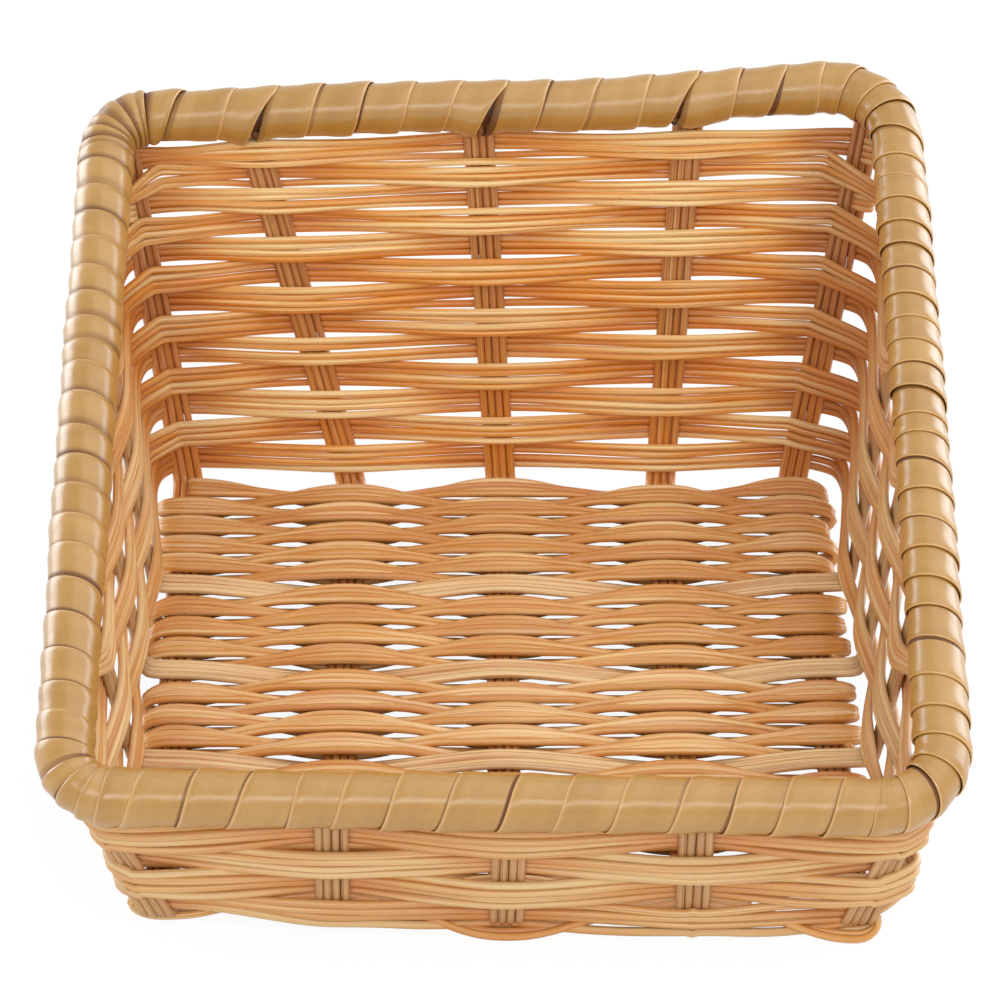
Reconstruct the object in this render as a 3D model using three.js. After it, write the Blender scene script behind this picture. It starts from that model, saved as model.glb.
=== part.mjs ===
// Slant-front produce basket: a woven reed tray with a high back, a low front and a wrapped rim.
// Millimetres, +Z up, front towards -Y. The origin is below the middle of the rim, where the base stands.
import * as THREE from 'three';

// Rim: a rod hoop in four sides, sloping from the back down to the front
const rimWidth = 286;
const rimDepth = 281.4;
const rimSkew = 3.7;
const rimBackHeight = 159.3;
const rimBackRise = 11.8;
const rimFrontHeight = 55.6;
const rimCornerRadius = 27;
const rimSideBow = 2;
const coreRadius = 6.0;

// Wrap: one flat strip wound round the rim, each turn lying on the one before
const wrapInnerRadius = 8.3;
const wrapOuterRadius = 9.3;
const wrapLap = 0.7;
const wrapPitchAcross = 17.2;
const wrapPitchSides = 11.8;
const wrapPitchCorners = 9.5;

// Base: stakes from front to back, crossed by the side stakes and by the base weavers
const baseHalfWidth = 127.7;
const baseDepth = 259;
const baseOffset = -8;
const panelMargin = 5.5;
const cornerInset = 14.7;
const longStakeShares = [-1, -0.504, 0, 0.54, 1];
const backHeadShares = [-0.65, -0.063, 0.4825];
const frontHeadShares = [-0.3965, 0.0112, 0.43];
const rowsBeforeSideStake = [10, 7, 7, 7];
const rowsAtFrontEdge = 3;

// Stakes: flat bundles of reeds
const reedsPerStake = 4;
const stakeThickness = 3.0;
const stakeWidth = 11.5;
const crossingWidth = 8.4;
const stakeBendRadius = 3.5;

// Weavers: flat ribbons of fine reeds
const wallWeaverThickness = 2.6;
const baseWeaverThickness = 3.0;
const wallRows = 13;
const fullRings = 4;
const frontFirstRow = 3.4;
const backFirstRow = 9.8;
const backPitchLoss = 0.22;
const backTopGap = 4.1;
const rowTiltShare = 0.1525;

// Clearances
const clearance = 0.45;
const rowGap = 1.3;
const cornerEase = 0.6;
const baseRowGap = 0.45;
const slotClearance = 0.8;
const rimReserve = 0.5;

// Finishes
const weaverColour = 0xdda35c;
const baseColour = 0xd3a066;
const stakeColour = 0xc89a63;
const coreColour = 0xb98a55;
const wrapColour = 0xc8a267;

const basePanelDepth = baseDepth - 2 * panelMargin;
const outerStakeFoot = baseHalfWidth - cornerInset;
const longStakeFeet = longStakeShares.map((share) => share * outerStakeFoot);
const rimAllowance = wrapOuterRadius + rimReserve;
const frontRowPitch = (rimFrontHeight - rimAllowance - frontFirstRow) / fullRings;
const backLossSum = backPitchLoss * wallRows * (wallRows - 1) / 2;
const backRowPitch = (rimBackHeight - rimAllowance - backTopGap - backFirstRow + backLossSum) / wallRows;
const backRowTilt = rowTiltShare * rimBackRise;
const halfStake = stakeThickness / 2;
const stakePlane = stakeThickness + clearance + halfStake;
const baseWave = halfStake + clearance + baseWeaverThickness / 2;
const wallWave = halfStake + clearance + wallWeaverThickness / 2;
const halfPlateau = stakeWidth / 2 + clearance + wallWeaverThickness / 2;
const up = new THREE.Vector3(0, 0, 1);
const alongX = new THREE.Vector3(1, 0, 0);
const alongY = new THREE.Vector3(0, 1, 0);

const at = (x, y, z) => new THREE.Vector3(x, y, z);
const mix = THREE.MathUtils.lerp;
const mixPoints = (a, b, t) => a.clone().lerp(b, t);

// A closed surface from rings of points: the rings join to each other, and either close or are capped
function skin(rings, closed) {
  const count = rings[0].length;
  const position = rings.flat().flatMap((p) => [p.x, p.y, p.z]);
  const index = [];
  const spans = closed ? rings.length : rings.length - 1;
  for (let i = 0; i < spans; i += 1) {
    const j = (i + 1) % rings.length;
    for (let k = 0; k < count; k += 1) {
      const n = (k + 1) % count;
      index.push(i * count + k, j * count + k, j * count + n);
      index.push(i * count + k, j * count + n, i * count + n);
    }
  }
  return { position, index, count };
}

// Six times the volume inside a surface, positive where its faces point out
function signedVolume(position, index) {
  const corner = (i) => at(...position.slice(3 * i, 3 * i + 3));
  let sum = 0;
  for (let i = 0; i < index.length; i += 3) {
    const [a, b, c] = [corner(index[i]), corner(index[i + 1]), corner(index[i + 2])];
    sum += a.dot(b.cross(c));
  }
  return sum;
}

function toGeometry(position, index) {
  const faces = signedVolume(position, index) < 0 ? index.slice().reverse() : index;
  const geometry = new THREE.BufferGeometry();
  geometry.setAttribute('position', new THREE.Float32BufferAttribute(position, 3));
  geometry.setIndex(faces);
  geometry.computeVertexNormals();
  return geometry;
}

// Sweeps a flat profile along stations. Each station has a place, a width direction and a width;
// joints are mitred so that the strip keeps its thickness where it turns.
function sweep(stations, profile, thickness, closed = false) {
  const last = stations.length - 1;
  const rings = stations.map((station, i) => {
    const before = stations[i === 0 ? (closed ? last : 0) : i - 1].place;
    const after = stations[i === last ? (closed ? 0 : last) : i + 1].place;
    const arriving = station.place.clone().sub(before);
    const leaving = after.clone().sub(station.place);
    if (arriving.lengthSq() === 0) arriving.copy(leaving);
    if (leaving.lengthSq() === 0) leaving.copy(arriving);
    for (const way of [arriving, leaving]) {
      way.addScaledVector(station.wide, -way.dot(station.wide)).normalize();
    }
    const along = arriving.clone().add(leaving).normalize();
    const face = along.clone().cross(station.wide).normalize();
    const mitre = 1 / Math.max(0.6, along.dot(leaving));
    return profile.map(([u, v]) => station.place.clone()
      .addScaledVector(station.wide, u * station.width)
      .addScaledVector(face, v * thickness * mitre));
  });
  const { position, index, count } = skin(rings, closed);
  if (!closed) {
    const outline = profile.map(([u, v]) => new THREE.Vector2(u, v));
    for (const [a, b, c] of THREE.ShapeUtils.triangulateShape(outline, [])) {
      const end = last * count;
      index.push(a, b, c, end + c, end + b, end + a);
    }
    const wound = matchCaps(index, count, rings.length);
    return toGeometry(position, wound);
  }
  return toGeometry(position, index);
}

// Turns the end caps round if they wind the other way from the sides
function matchCaps(index, count, rings) {
  const sides = (rings - 1) * count * 6;
  const edges = new Set();
  for (let i = 0; i < sides; i += 3) {
    edges.add(`${index[i]}>${index[i + 1]}`);
    edges.add(`${index[i + 1]}>${index[i + 2]}`);
    edges.add(`${index[i + 2]}>${index[i]}`);
  }
  const clashes = (i) => edges.has(`${index[i]}>${index[i + 1]}`)
    || edges.has(`${index[i + 1]}>${index[i + 2]}`)
    || edges.has(`${index[i + 2]}>${index[i]}`);
  let turned = false;
  for (let i = sides; i < index.length; i += 3) turned = turned || clashes(i);
  if (!turned) return index;
  const fixed = index.slice();
  for (let i = sides; i < index.length; i += 3) {
    fixed[i + 1] = index[i + 2];
    fixed[i + 2] = index[i + 1];
  }
  return fixed;
}

// Profiles in shares of width and thickness
const ribbonProfile = [[-0.5, -0.5], [0.5, -0.5], [0.5, 0.5], [-0.5, 0.5]];

// Reeds side by side: a crest over each reed and a shallow groove between two
function bundleProfile(reeds) {
  const pitch = 1 / reeds;
  const groove = 0.3;
  const upper = [[-0.5, 0]];
  for (let reed = 0; reed < reeds; reed += 1) {
    const crest = -0.5 + (reed + 0.5) * pitch;
    upper.push([crest, 0.5]);
    if (reed < reeds - 1) upper.push([crest + pitch / 2, groove]);
  }
  upper.push([0.5, 0]);
  const lower = upper.slice(1, -1).reverse().map(([u, v]) => [u, -v]);
  return [...upper, ...lower];
}
const stakeProfile = bundleProfile(reedsPerStake);

// Rim path, clockwise from above: back, right, front, left, each side followed by its corner
const rimCorners = {
  backLeft: at(-rimWidth / 2, rimDepth / 2 - rimSkew, rimBackHeight - rimBackRise / 2),
  backRight: at(rimWidth / 2, rimDepth / 2 + rimSkew, rimBackHeight + rimBackRise / 2),
  frontRight: at(rimWidth / 2, -rimDepth / 2 - rimSkew, rimFrontHeight),
  frontLeft: at(-rimWidth / 2, -rimDepth / 2 + rimSkew, rimFrontHeight),
};

function rimSide(from, to, bow) {
  const along = to.clone().sub(from).normalize();
  const start = from.clone().addScaledVector(along, rimCornerRadius);
  const end = to.clone().addScaledVector(along, -rimCornerRadius);
  const outward = up.clone().cross(along).normalize();
  const middle = mixPoints(start, end, 0.5).addScaledVector(outward, 2 * bow);
  return new THREE.QuadraticBezierCurve3(start, middle, end);
}

function rimBend(from, corner, to) {
  const roundness = 0.5523;
  return new THREE.CubicBezierCurve3(
    from, mixPoints(from, corner, roundness), mixPoints(to, corner, roundness), to);
}

const rimSides = [
  rimSide(rimCorners.backLeft, rimCorners.backRight, 0),
  rimSide(rimCorners.backRight, rimCorners.frontRight, rimSideBow),
  rimSide(rimCorners.frontRight, rimCorners.frontLeft, 0),
  rimSide(rimCorners.frontLeft, rimCorners.backLeft, rimSideBow),
];
const bendCorners = [
  rimCorners.backRight, rimCorners.frontRight, rimCorners.frontLeft, rimCorners.backLeft];
const rimPath = new THREE.CurvePath();
rimSides.forEach((side, i) => {
  rimPath.add(side);
  rimPath.add(rimBend(side.v2, bendCorners[i], rimSides[(i + 1) % 4].v0));
});
const rimLength = rimPath.getLength();
const pieceEnds = rimPath.getCurveLengths();

function onRim(distance) {
  const share = ((distance / rimLength) % 1 + 1) % 1;
  return { place: rimPath.getPoint(share), along: rimPath.getTangent(share) };
}

// Distance along the rim of a share of one side, or of the bend that follows it
function rimDistance(piece, share) {
  const start = piece === 0 ? 0 : pieceEnds[piece - 1];
  return mix(start, pieceEnds[piece], share);
}
const shareOfSide = (side, axis, value) => (value - side.v0[axis]) / (side.v2[axis] - side.v0[axis]);

// Rows of the base from back to front: weaver rows, with a wider slot for each side stake
const weaverRowCount = rowsBeforeSideStake.reduce((sum, n) => sum + n, rowsAtFrontEdge);
const crossingSlot = crossingWidth + baseRowGap;
const baseRowPitch = (basePanelDepth - rowsBeforeSideStake.length * crossingSlot) / weaverRowCount;
const baseSections = [];
const crossings = [];
let edge = baseOffset + basePanelDepth / 2;
let row = 0;
for (const rows of [...rowsBeforeSideStake, rowsAtFrontEdge]) {
  const section = [];
  for (let i = 0; i < rows; i += 1) {
    section.push({ row, y: edge - baseRowPitch / 2 });
    edge -= baseRowPitch;
    row += 1;
  }
  baseSections.push(section);
  if (crossings.length < rowsBeforeSideStake.length) {
    crossings.push({ row, y: edge - crossingSlot / 2 });
    edge -= crossingSlot;
    row += 1;
  }
}

// Height of a base row where it passes over or under a long stake
const overStake = (rowNumber, stake) => (rowNumber + stake) % 2 === 0;
const waveHeight = (rowNumber, stake, wave) => stakePlane + (overStake(rowNumber, stake) ? wave : -wave);

// Wall stakes, clockwise from above: the foot is where the wall line meets the base, the head is on the rim
const backWall = baseOffset + baseDepth / 2;
const frontWall = baseOffset - baseDepth / 2;
const sideStakePlane = stakePlane + baseWave;
const depthShare = rimDepth / baseDepth;

function wallStake(foot, distance, travel) {
  const rim = onRim(distance);
  const slope = rim.place.clone().sub(foot).normalize();
  return { foot, head: rim.place, along: rim.along, slope, distance, travel };
}

function backStake(i) {
  const foot = at(longStakeFeet[i], backWall, stakePlane);
  if (i === 0) return wallStake(foot, rimDistance(7, 0.5), alongX);
  if (i === 4) return wallStake(foot, rimDistance(1, 0.5), alongX);
  const share = shareOfSide(rimSides[0], 'x', backHeadShares[i - 1] * rimWidth / 2);
  return wallStake(foot, rimDistance(0, share), alongX);
}

function frontStake(i) {
  const foot = at(longStakeFeet[i], frontWall, stakePlane);
  const travel = alongX.clone().negate();
  if (i === 0) return wallStake(foot, rimDistance(5, 0.5), travel);
  if (i === 4) return wallStake(foot, rimDistance(3, 0.5), travel);
  const share = shareOfSide(rimSides[2], 'x', frontHeadShares[i - 1] * rimWidth / 2);
  return wallStake(foot, rimDistance(4, share), travel);
}

function sideStake(crossing, side) {
  const foot = at(side * baseHalfWidth, crossing.y, sideStakePlane);
  const piece = side > 0 ? 2 : 6;
  const headY = (crossing.y - baseOffset) * depthShare;
  const share = shareOfSide(rimSides[piece / 2], 'y', headY);
  return wallStake(foot, rimDistance(piece, share), alongY.clone().multiplyScalar(-side));
}

const longStakeNumbers = longStakeFeet.map((_, i) => i);
const backStakes = longStakeNumbers.map(backStake);
const frontStakes = longStakeNumbers.map(frontStake);
const rightStakes = crossings.map((crossing) => sideStake(crossing, 1));
const leftStakes = crossings.map((crossing) => sideStake(crossing, -1));
const wallRing = [
  ...backStakes, ...rightStakes, ...frontStakes.slice().reverse(), ...leftStakes.slice().reverse()];
const isSide = (stake) => stake.travel.y !== 0;
const atBend = (stake) => Math.abs(stake.along.x * stake.along.y) > 0.1;

// Edges of the wall rows, counted up from the base, at the front and at the back wall
const frontEdge = (n) => frontFirstRow + frontRowPitch * n;
const backEdge = (n) => backFirstRow + backRowPitch * n - backPitchLoss * n * (n - 1) / 2;

function rowEdge(stake, n) {
  const share = THREE.MathUtils.clamp((stake.foot.y - frontWall) / baseDepth, 0, 1);
  const tilt = share * backRowTilt * (n / wallRows) * (stake.foot.x / baseHalfWidth);
  return mix(frontEdge(n), backEdge(n), share) + tilt;
}

// Height that a row stays below under the sloping rim, over the whole width of a stake
function rimCeiling(stake) {
  const level = Math.hypot(stake.along.x, stake.along.y);
  const drop = halfPlateau * Math.abs(stake.along.z) / level;
  return stake.head.z - rimAllowance / level - drop;
}

// Where a row passes a stake: its height, its width and the way it runs
function rowPass(stake, n, outside) {
  const bendTop = stake.foot.z + stakeBendRadius + clearance;
  const low = n === 0 && !outside ? Math.max(rowEdge(stake, n), bendTop) : rowEdge(stake, n);
  const ease = atBend(stake) ? cornerEase : 0;
  const high = Math.min(rowEdge(stake, n + 1) - rowGap - ease, rimCeiling(stake));
  const middle = (low + high) / 2;
  const rise = (middle - stake.foot.z) / (stake.head.z - stake.foot.z);
  const across = stake.travel.clone().lerp(stake.along, Math.max(0, rise)).setZ(0).normalize();
  const outward = stake.slope.clone().cross(across).normalize();
  const wave = wallWave + ease;
  const place = mixPoints(stake.foot, stake.head, rise)
    .addScaledVector(outward, outside ? wave : -wave);
  return { place, across, wide: stake.slope, width: (high - low) / stake.slope.z };
}

// The wall weaver of one row, numbered from the top, over the stakes that it reaches
function wallWeaver(number) {
  const n = wallRows - number;
  const passes = reachOf(number).map((m) => {
    const index = (m + wallRing.length) % wallRing.length;
    return rowPass(wallRing[index], n, (index + number) % 2 === 1);
  });
  const stations = passes.flatMap(({ place, across, wide, width }) => [-halfPlateau, halfPlateau]
    .map((shift) => ({ place: place.clone().addScaledVector(across, shift), wide, width })));
  return sweep(stations, ribbonProfile, wallWeaverThickness, number > wallRows - fullRings);
}

// Stakes that a row reaches before the sloping rim comes down to it
function reachOf(number) {
  const total = wallRing.length;
  if (number > wallRows - fullRings) return wallRing.map((_, m) => m);
  const n = wallRows - number;
  const fits = (stake) => rowEdge(stake, n + 1) < rimCeiling(stake);
  const backCount = backStakes.length;
  let right = backCount - 1;
  while (right + 1 < backCount + rightStakes.length && fits(wallRing[right + 1])) right += 1;
  let left = 0;
  while (-(left - 1) <= leftStakes.length && fits(wallRing[total + left - 1])) left -= 1;
  return Array.from({ length: right - left + 1 }, (_, i) => left + i);
}

// How far the rim curves away from a flat stake end that is seated at one of its bends
const bendSag = (stake) => (atBend(stake) ? stakeWidth * stakeWidth / (8 * rimCornerRadius) : 0);

// Stations up a wall from the bend at the foot to the underside of the rim core
function climb(stake, fromBase, baseWidth) {
  const start = stake.foot.clone().addScaledVector(fromBase, -stakeBendRadius);
  const top = stake.foot.clone().addScaledVector(stake.slope, stakeBendRadius);
  const bend = new THREE.QuadraticBezierCurve3(start, stake.foot, top);
  const flat = isSide(stake) ? alongY : alongX;
  const stations = [0, 0.35, 0.65, 1].map((t) => (
    { place: bend.getPoint(t), wide: flat, width: mix(baseWidth, stakeWidth, t) }));
  const seat = (coreRadius + clearance + bendSag(stake)) / stake.slope.clone().cross(stake.along).length();
  const reach = stake.head.distanceTo(stake.foot) - seat;
  const headAlong = stake.along.dot(flat) < 0 ? stake.along.clone().negate() : stake.along;
  for (const share of [0.4, 0.7, 1]) {
    const wide = flat.clone().lerp(headAlong, share).normalize();
    const place = stake.foot.clone().addScaledVector(stake.slope, mix(stakeBendRadius, reach, share));
    stations.push({ place, wide, width: stakeWidth });
  }
  return stations;
}

// A long stake runs down the front wall, back under the base weavers and up the back wall
function longStake(i) {
  const front = climb(frontStakes[i], alongY.clone().negate(), stakeWidth).reverse();
  const back = climb(backStakes[i], alongY, stakeWidth);
  return sweep([...front, ...back], stakeProfile, stakeThickness);
}

// A side stake runs down the left wall, over and under the long stakes, and up the right wall
function crossStake(i) {
  const crossing = crossings[i];
  const left = climb(leftStakes[i], alongX.clone().negate(), crossingWidth).reverse();
  const right = climb(rightStakes[i], alongX, crossingWidth);
  const flat = basePasses(crossing.row, crossing.y, 1, crossingWidth, baseWave);
  return sweep([...left, ...flat, ...right], stakeProfile, stakeThickness);
}

// Stations of one base row across the long stakes, from left to right or back again
function basePasses(rowNumber, y, heading, width, wave) {
  const half = stakeWidth / 2 + clearance;
  const stations = longStakeFeet.flatMap((x, stake) => [-half, half]
    .map((shift) => ({ place: at(x + shift, y, waveHeight(rowNumber, stake, wave)), wide: alongY, width })));
  return heading > 0 ? stations : stations.reverse();
}

// A base weaver goes to and fro, turning round the outer long stakes
function baseWeaver(section) {
  const width = baseRowPitch - baseRowGap;
  const stations = [];
  section.forEach(({ row: rowNumber, y }, i) => {
    const heading = i % 2 === 0 ? 1 : -1;
    const passes = basePasses(rowNumber, y, heading, width, baseWave);
    stations.push(...passes);
    if (i === section.length - 1) return;
    const arriving = passes[passes.length - 1].place;
    const climbing = arriving.z < stakePlane ? -1 : 1;
    for (const share of [0.25, 0.5, 0.75]) {
      const angle = Math.PI * share;
      const x = arriving.x + heading * baseWeaverThickness / 2 * Math.sin(angle);
      const z = stakePlane + climbing * baseWave * Math.cos(angle);
      stations.push({ place: at(x, mix(y, section[i + 1].y, share), z), wide: alongY, width });
    }
  });
  return sweep(stations, ribbonProfile, baseWeaverThickness);
}

// Rim core: a round rod bent to the rim path
function rimCore() {
  const sides = 8;
  const around = Array.from({ length: sides }, (_, k) => 2 * Math.PI * k / sides);
  const loops = pieceEnds.flatMap((_, piece) => {
    const steps = piece % 2 === 0 ? 6 : 7;
    return Array.from({ length: steps }, (__, i) => {
      const frame = rimFrame(rimDistance(piece, i / steps));
      return around.map((angle) => ringPoint(frame, coreRadius, angle));
    });
  });
  const { position, index } = skin(loops, true);
  return toGeometry(position, index);
}

// The rim's own directions: along it, down towards the wall below, and to the side
const heads = wallRing.map((stake) => ({ distance: stake.distance, down: stake.slope.clone().negate() }))
  .sort((a, b) => a.distance - b.distance);

function rimFrame(distance) {
  const { place, along } = onRim(distance);
  const wrapped = ((distance % rimLength) + rimLength) % rimLength;
  const next = heads.find((head) => head.distance > wrapped) ?? heads[0];
  const before = heads[(heads.indexOf(next) + heads.length - 1) % heads.length];
  const gap = (next.distance - before.distance + rimLength) % rimLength;
  const share = ((wrapped - before.distance + rimLength) % rimLength) / gap;
  const down = before.down.clone().lerp(next.down, share);
  down.addScaledVector(along, -down.dot(along)).normalize();
  return { place, down, side: along.clone().cross(down) };
}

const ringPoint = (frame, radius, angle) => frame.place.clone()
  .addScaledVector(frame.down, radius * Math.cos(angle))
  .addScaledVector(frame.side, radius * Math.sin(angle));

// Starts of the wrap's turns: wide on the front and back, closer on the sides, closest at the bends
function turnStarts() {
  const pitchAt = (distance) => {
    const piece = pieceEnds.findIndex((end) => distance < end);
    if (piece % 2 === 1) return wrapPitchCorners;
    return piece % 4 === 0 ? wrapPitchAcross : wrapPitchSides;
  };
  const starts = [0];
  let distance = 0;
  while (distance < rimLength) {
    distance += pitchAt(distance);
    starts.push(distance);
  }
  const scale = rimLength / distance;
  return starts.map((start) => start * scale);
}

// Rim wrap: a wound strip that lies round the core and is open below, where the wall comes up into it
function rimWrap() {
  const starts = turnStarts();
  const turns = starts.length - 1;
  const distanceAt = (turn) => {
    const whole = Math.floor(turn);
    const wound = ((whole % turns) + turns) % turns;
    const lapsDone = (whole - wound) / turns;
    return lapsDone * rimLength + mix(starts[wound], starts[wound + 1], turn - whole);
  };
  const slotHalf = Math.asin((halfStake + slotClearance) / wrapInnerRadius);
  const arc = (points) => Array.from({ length: points }, (_, k) => (
    mix(slotHalf, 2 * Math.PI - slotHalf, k / (points - 1))));
  const outer = arc(9);
  const inner = arc(7).reverse();
  const loop = (turn, radius) => {
    const point = (angle, r) => ringPoint(rimFrame(distanceAt(turn - angle / (2 * Math.PI))), r, angle);
    return [
      ...outer.map((angle) => point(angle, radius)),
      ...inner.map((angle) => point(angle, wrapInnerRadius)),
    ];
  };
  const lapStep = 0.06;
  const loops = [];
  for (let turn = 0; turn < turns; turn += 1) {
    loops.push(loop(turn, wrapOuterRadius - wrapLap));
    loops.push(loop(turn + 1 - lapStep, wrapOuterRadius));
  }
  const { position, index } = skin(loops, true);
  return toGeometry(position, index);
}

// Assembly
const basket = new THREE.Group();

function add(name, geometry, color, roughness) {
  const material = new THREE.MeshStandardMaterial({ color, roughness, metalness: 0 });
  const mesh = new THREE.Mesh(geometry, material);
  mesh.name = name;
  basket.add(mesh);
}

const twoDigits = (number) => String(number).padStart(2, '0');
longStakeNumbers.forEach((i) => add(`long_stake_${i + 1}`, longStake(i), stakeColour, 0.6));
crossings.forEach((_, i) => add(`cross_stake_${i + 1}`, crossStake(i), stakeColour, 0.6));
baseSections.forEach((section, i) => add(`base_weaver_${i + 1}`, baseWeaver(section), baseColour, 0.55));
for (let number = 1; number <= wallRows; number += 1) {
  add(`wall_weaver_${twoDigits(number)}`, wallWeaver(number), weaverColour, 0.5);
}
add('rim_core', rimCore(), coreColour, 0.7);
add('rim_wrap', rimWrap(), wrapColour, 0.3);

export default basket;
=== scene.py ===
"""Looks of a slant-front produce basket: round reeds, stake bundles and a rim wound with a flat strip.

The plan classes hold the basket's lines in millimetres. Each sub-assembly builds its meshes from them,
in metres.
"""
import logging
import math
from dataclasses import dataclass, field
from enum import IntEnum
from typing import NamedTuple, Sequence

import bpy
import numpy as np
from mathutils import Matrix, Vector


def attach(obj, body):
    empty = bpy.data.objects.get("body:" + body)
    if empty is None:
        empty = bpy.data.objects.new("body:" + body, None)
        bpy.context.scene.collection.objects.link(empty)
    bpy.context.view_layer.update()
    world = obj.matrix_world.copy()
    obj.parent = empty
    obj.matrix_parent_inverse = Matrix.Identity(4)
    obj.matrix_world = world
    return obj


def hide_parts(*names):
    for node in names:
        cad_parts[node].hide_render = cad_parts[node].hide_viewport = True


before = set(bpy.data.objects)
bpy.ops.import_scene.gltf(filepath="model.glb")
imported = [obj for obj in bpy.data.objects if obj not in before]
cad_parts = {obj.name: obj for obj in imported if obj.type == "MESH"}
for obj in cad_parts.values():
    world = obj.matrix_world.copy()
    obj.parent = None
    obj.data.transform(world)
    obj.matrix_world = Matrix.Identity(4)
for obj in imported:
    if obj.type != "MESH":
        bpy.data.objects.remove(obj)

Array = np.ndarray
Rng = np.random.Generator
Socket = bpy.types.NodeSocket
Material = bpy.types.Material
Colour = tuple[float, float, float]
# Two numbers, mostly lowest and highest, or an amount and the length over which it wanders
Span = tuple[float, float]
# Noise waves across and along a strand, and the noise's detail
Grain = tuple[float, float, float]
# Points, width directions and one more value at each
Line = tuple[Array, Array, Array]
LOG = logging.getLogger("produce_basket")
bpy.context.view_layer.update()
MM = 0.001
UP = np.array([0.0, 0.0, 1.0])
ALONG_X = np.array([1.0, 0.0, 0.0])
ALONG_Y = np.array([0.0, 1.0, 0.0])
TURN = 2 * math.pi
TINY = 1e-9
# Millimetres of a strand for one unit of its grain
GRAIN_RUN = 150.0
# Distance between strands that lie side by side, in diameters
LAID_CLOSE = 0.95
# Share of a direction along Y from which it counts as running along a side wall
SIDEWAYS = 0.9
# Product of a direction's X and Y from which it counts as slanting across a corner
ASLANT = 0.1
LONG_STAKES = 5
# Places in the ring of stakes: the corner stakes, and the side stakes just before a corner
BACK_LEFT, BACK_RIGHT, FRONT_RIGHT, FRONT_LEFT = 0, 4, 9, 13
LAST_RIGHT, LAST_LEFT = 8, 17


# Small maths


def unit(vectors: Array) -> Array:
    """Vectors scaled to length one along the last axis."""
    return vectors / np.maximum(np.linalg.norm(vectors, axis=-1, keepdims=True), TINY)


def mix(a: Array | float, b: Array | float, t: Array | float) -> Array | float:
    """The value a share t of the way from a to b."""
    return a + (b - a) * t


def ease(t: Array | float) -> Array | float:
    """A share from 0 to 1 that starts and ends gently."""
    t = np.clip(t, 0.0, 1.0)
    return t * t * (3 - 2 * t)


def hermite(a: Array, b: Array, leave: Array, arrive: Array, t: Array) -> Array:
    """Points on a smooth span between two places.

    Args:
        a: Start of the span.
        b: End of the span.
        leave: Direction and pull at the start.
        arrive: Direction and pull at the end.
        t: Shares of the span, one per point.

    Returns:
        One row per share.
    """
    t = t[:, None]
    start = (2 * t ** 3 - 3 * t ** 2 + 1) * a + (t ** 3 - 2 * t ** 2 + t) * leave
    return start + (3 * t ** 2 - 2 * t ** 3) * b + (t ** 3 - t ** 2) * arrive


def arc(start: Array, middle: Array, end: Array, t: Array) -> Array:
    """Points of a curve from start to end that heads for the middle point first."""
    return (1 - t) ** 2 * start + 2 * t * (1 - t) * middle + t ** 2 * end


def swung(angle: Array) -> Array:
    """A share that goes gently from 0 to 1 while an angle goes from 0 to half a turn."""
    return (1 - np.cos(angle)) / 2


def run_along(points: Array) -> Array:
    """Distance along a line at each of its points."""
    return np.concatenate([[0.0], np.cumsum(np.linalg.norm(np.diff(points, axis=0), axis=1))])


def resample(points: Array, step: float) -> Array:
    """The same line with points at an even spacing.

    Args:
        points: The line's points.
        step: Spacing wanted, in millimetres.

    Returns:
        The evenly spaced points, ends included.
    """
    run = run_along(points)
    count = max(2, int(round(run[-1] / step)) + 1)
    wanted = np.linspace(0.0, run[-1], count)
    return np.stack([np.interp(wanted, run, points[:, axis]) for axis in range(3)], axis=1)


def rounded(points: Array, closed: bool) -> Array:
    """The same points with sharp kinks softened.

    Args:
        points: The line's points.
        closed: Whether the line is a loop. Otherwise its ends stay.

    Returns:
        As many points.
    """
    before, after = np.roll(points, 1, axis=0), np.roll(points, -1, axis=0)
    smooth = (before + 2 * points + after) / 4
    if not closed:
        smooth[0], smooth[-1] = points[0], points[-1]
    return smooth


def waver(rng: Rng, run: Array, amount: float, longest: float) -> Array:
    """A slow seeded waver along a strand, of three waves.

    Args:
        rng: Source of the phases.
        run: Distance along the strand, in millimetres.
        amount: Largest usual deviation.
        longest: Longest wave, in millimetres.

    Returns:
        One deviation per point.
    """
    total, usual_peak = np.zeros_like(run), 1.4
    for share in (1.0, 0.57, 0.31):
        total += share * np.sin(TURN * run / (longest * share) + rng.uniform(0, TURN))
    return amount * total / usual_peak


# Meshes


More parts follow.
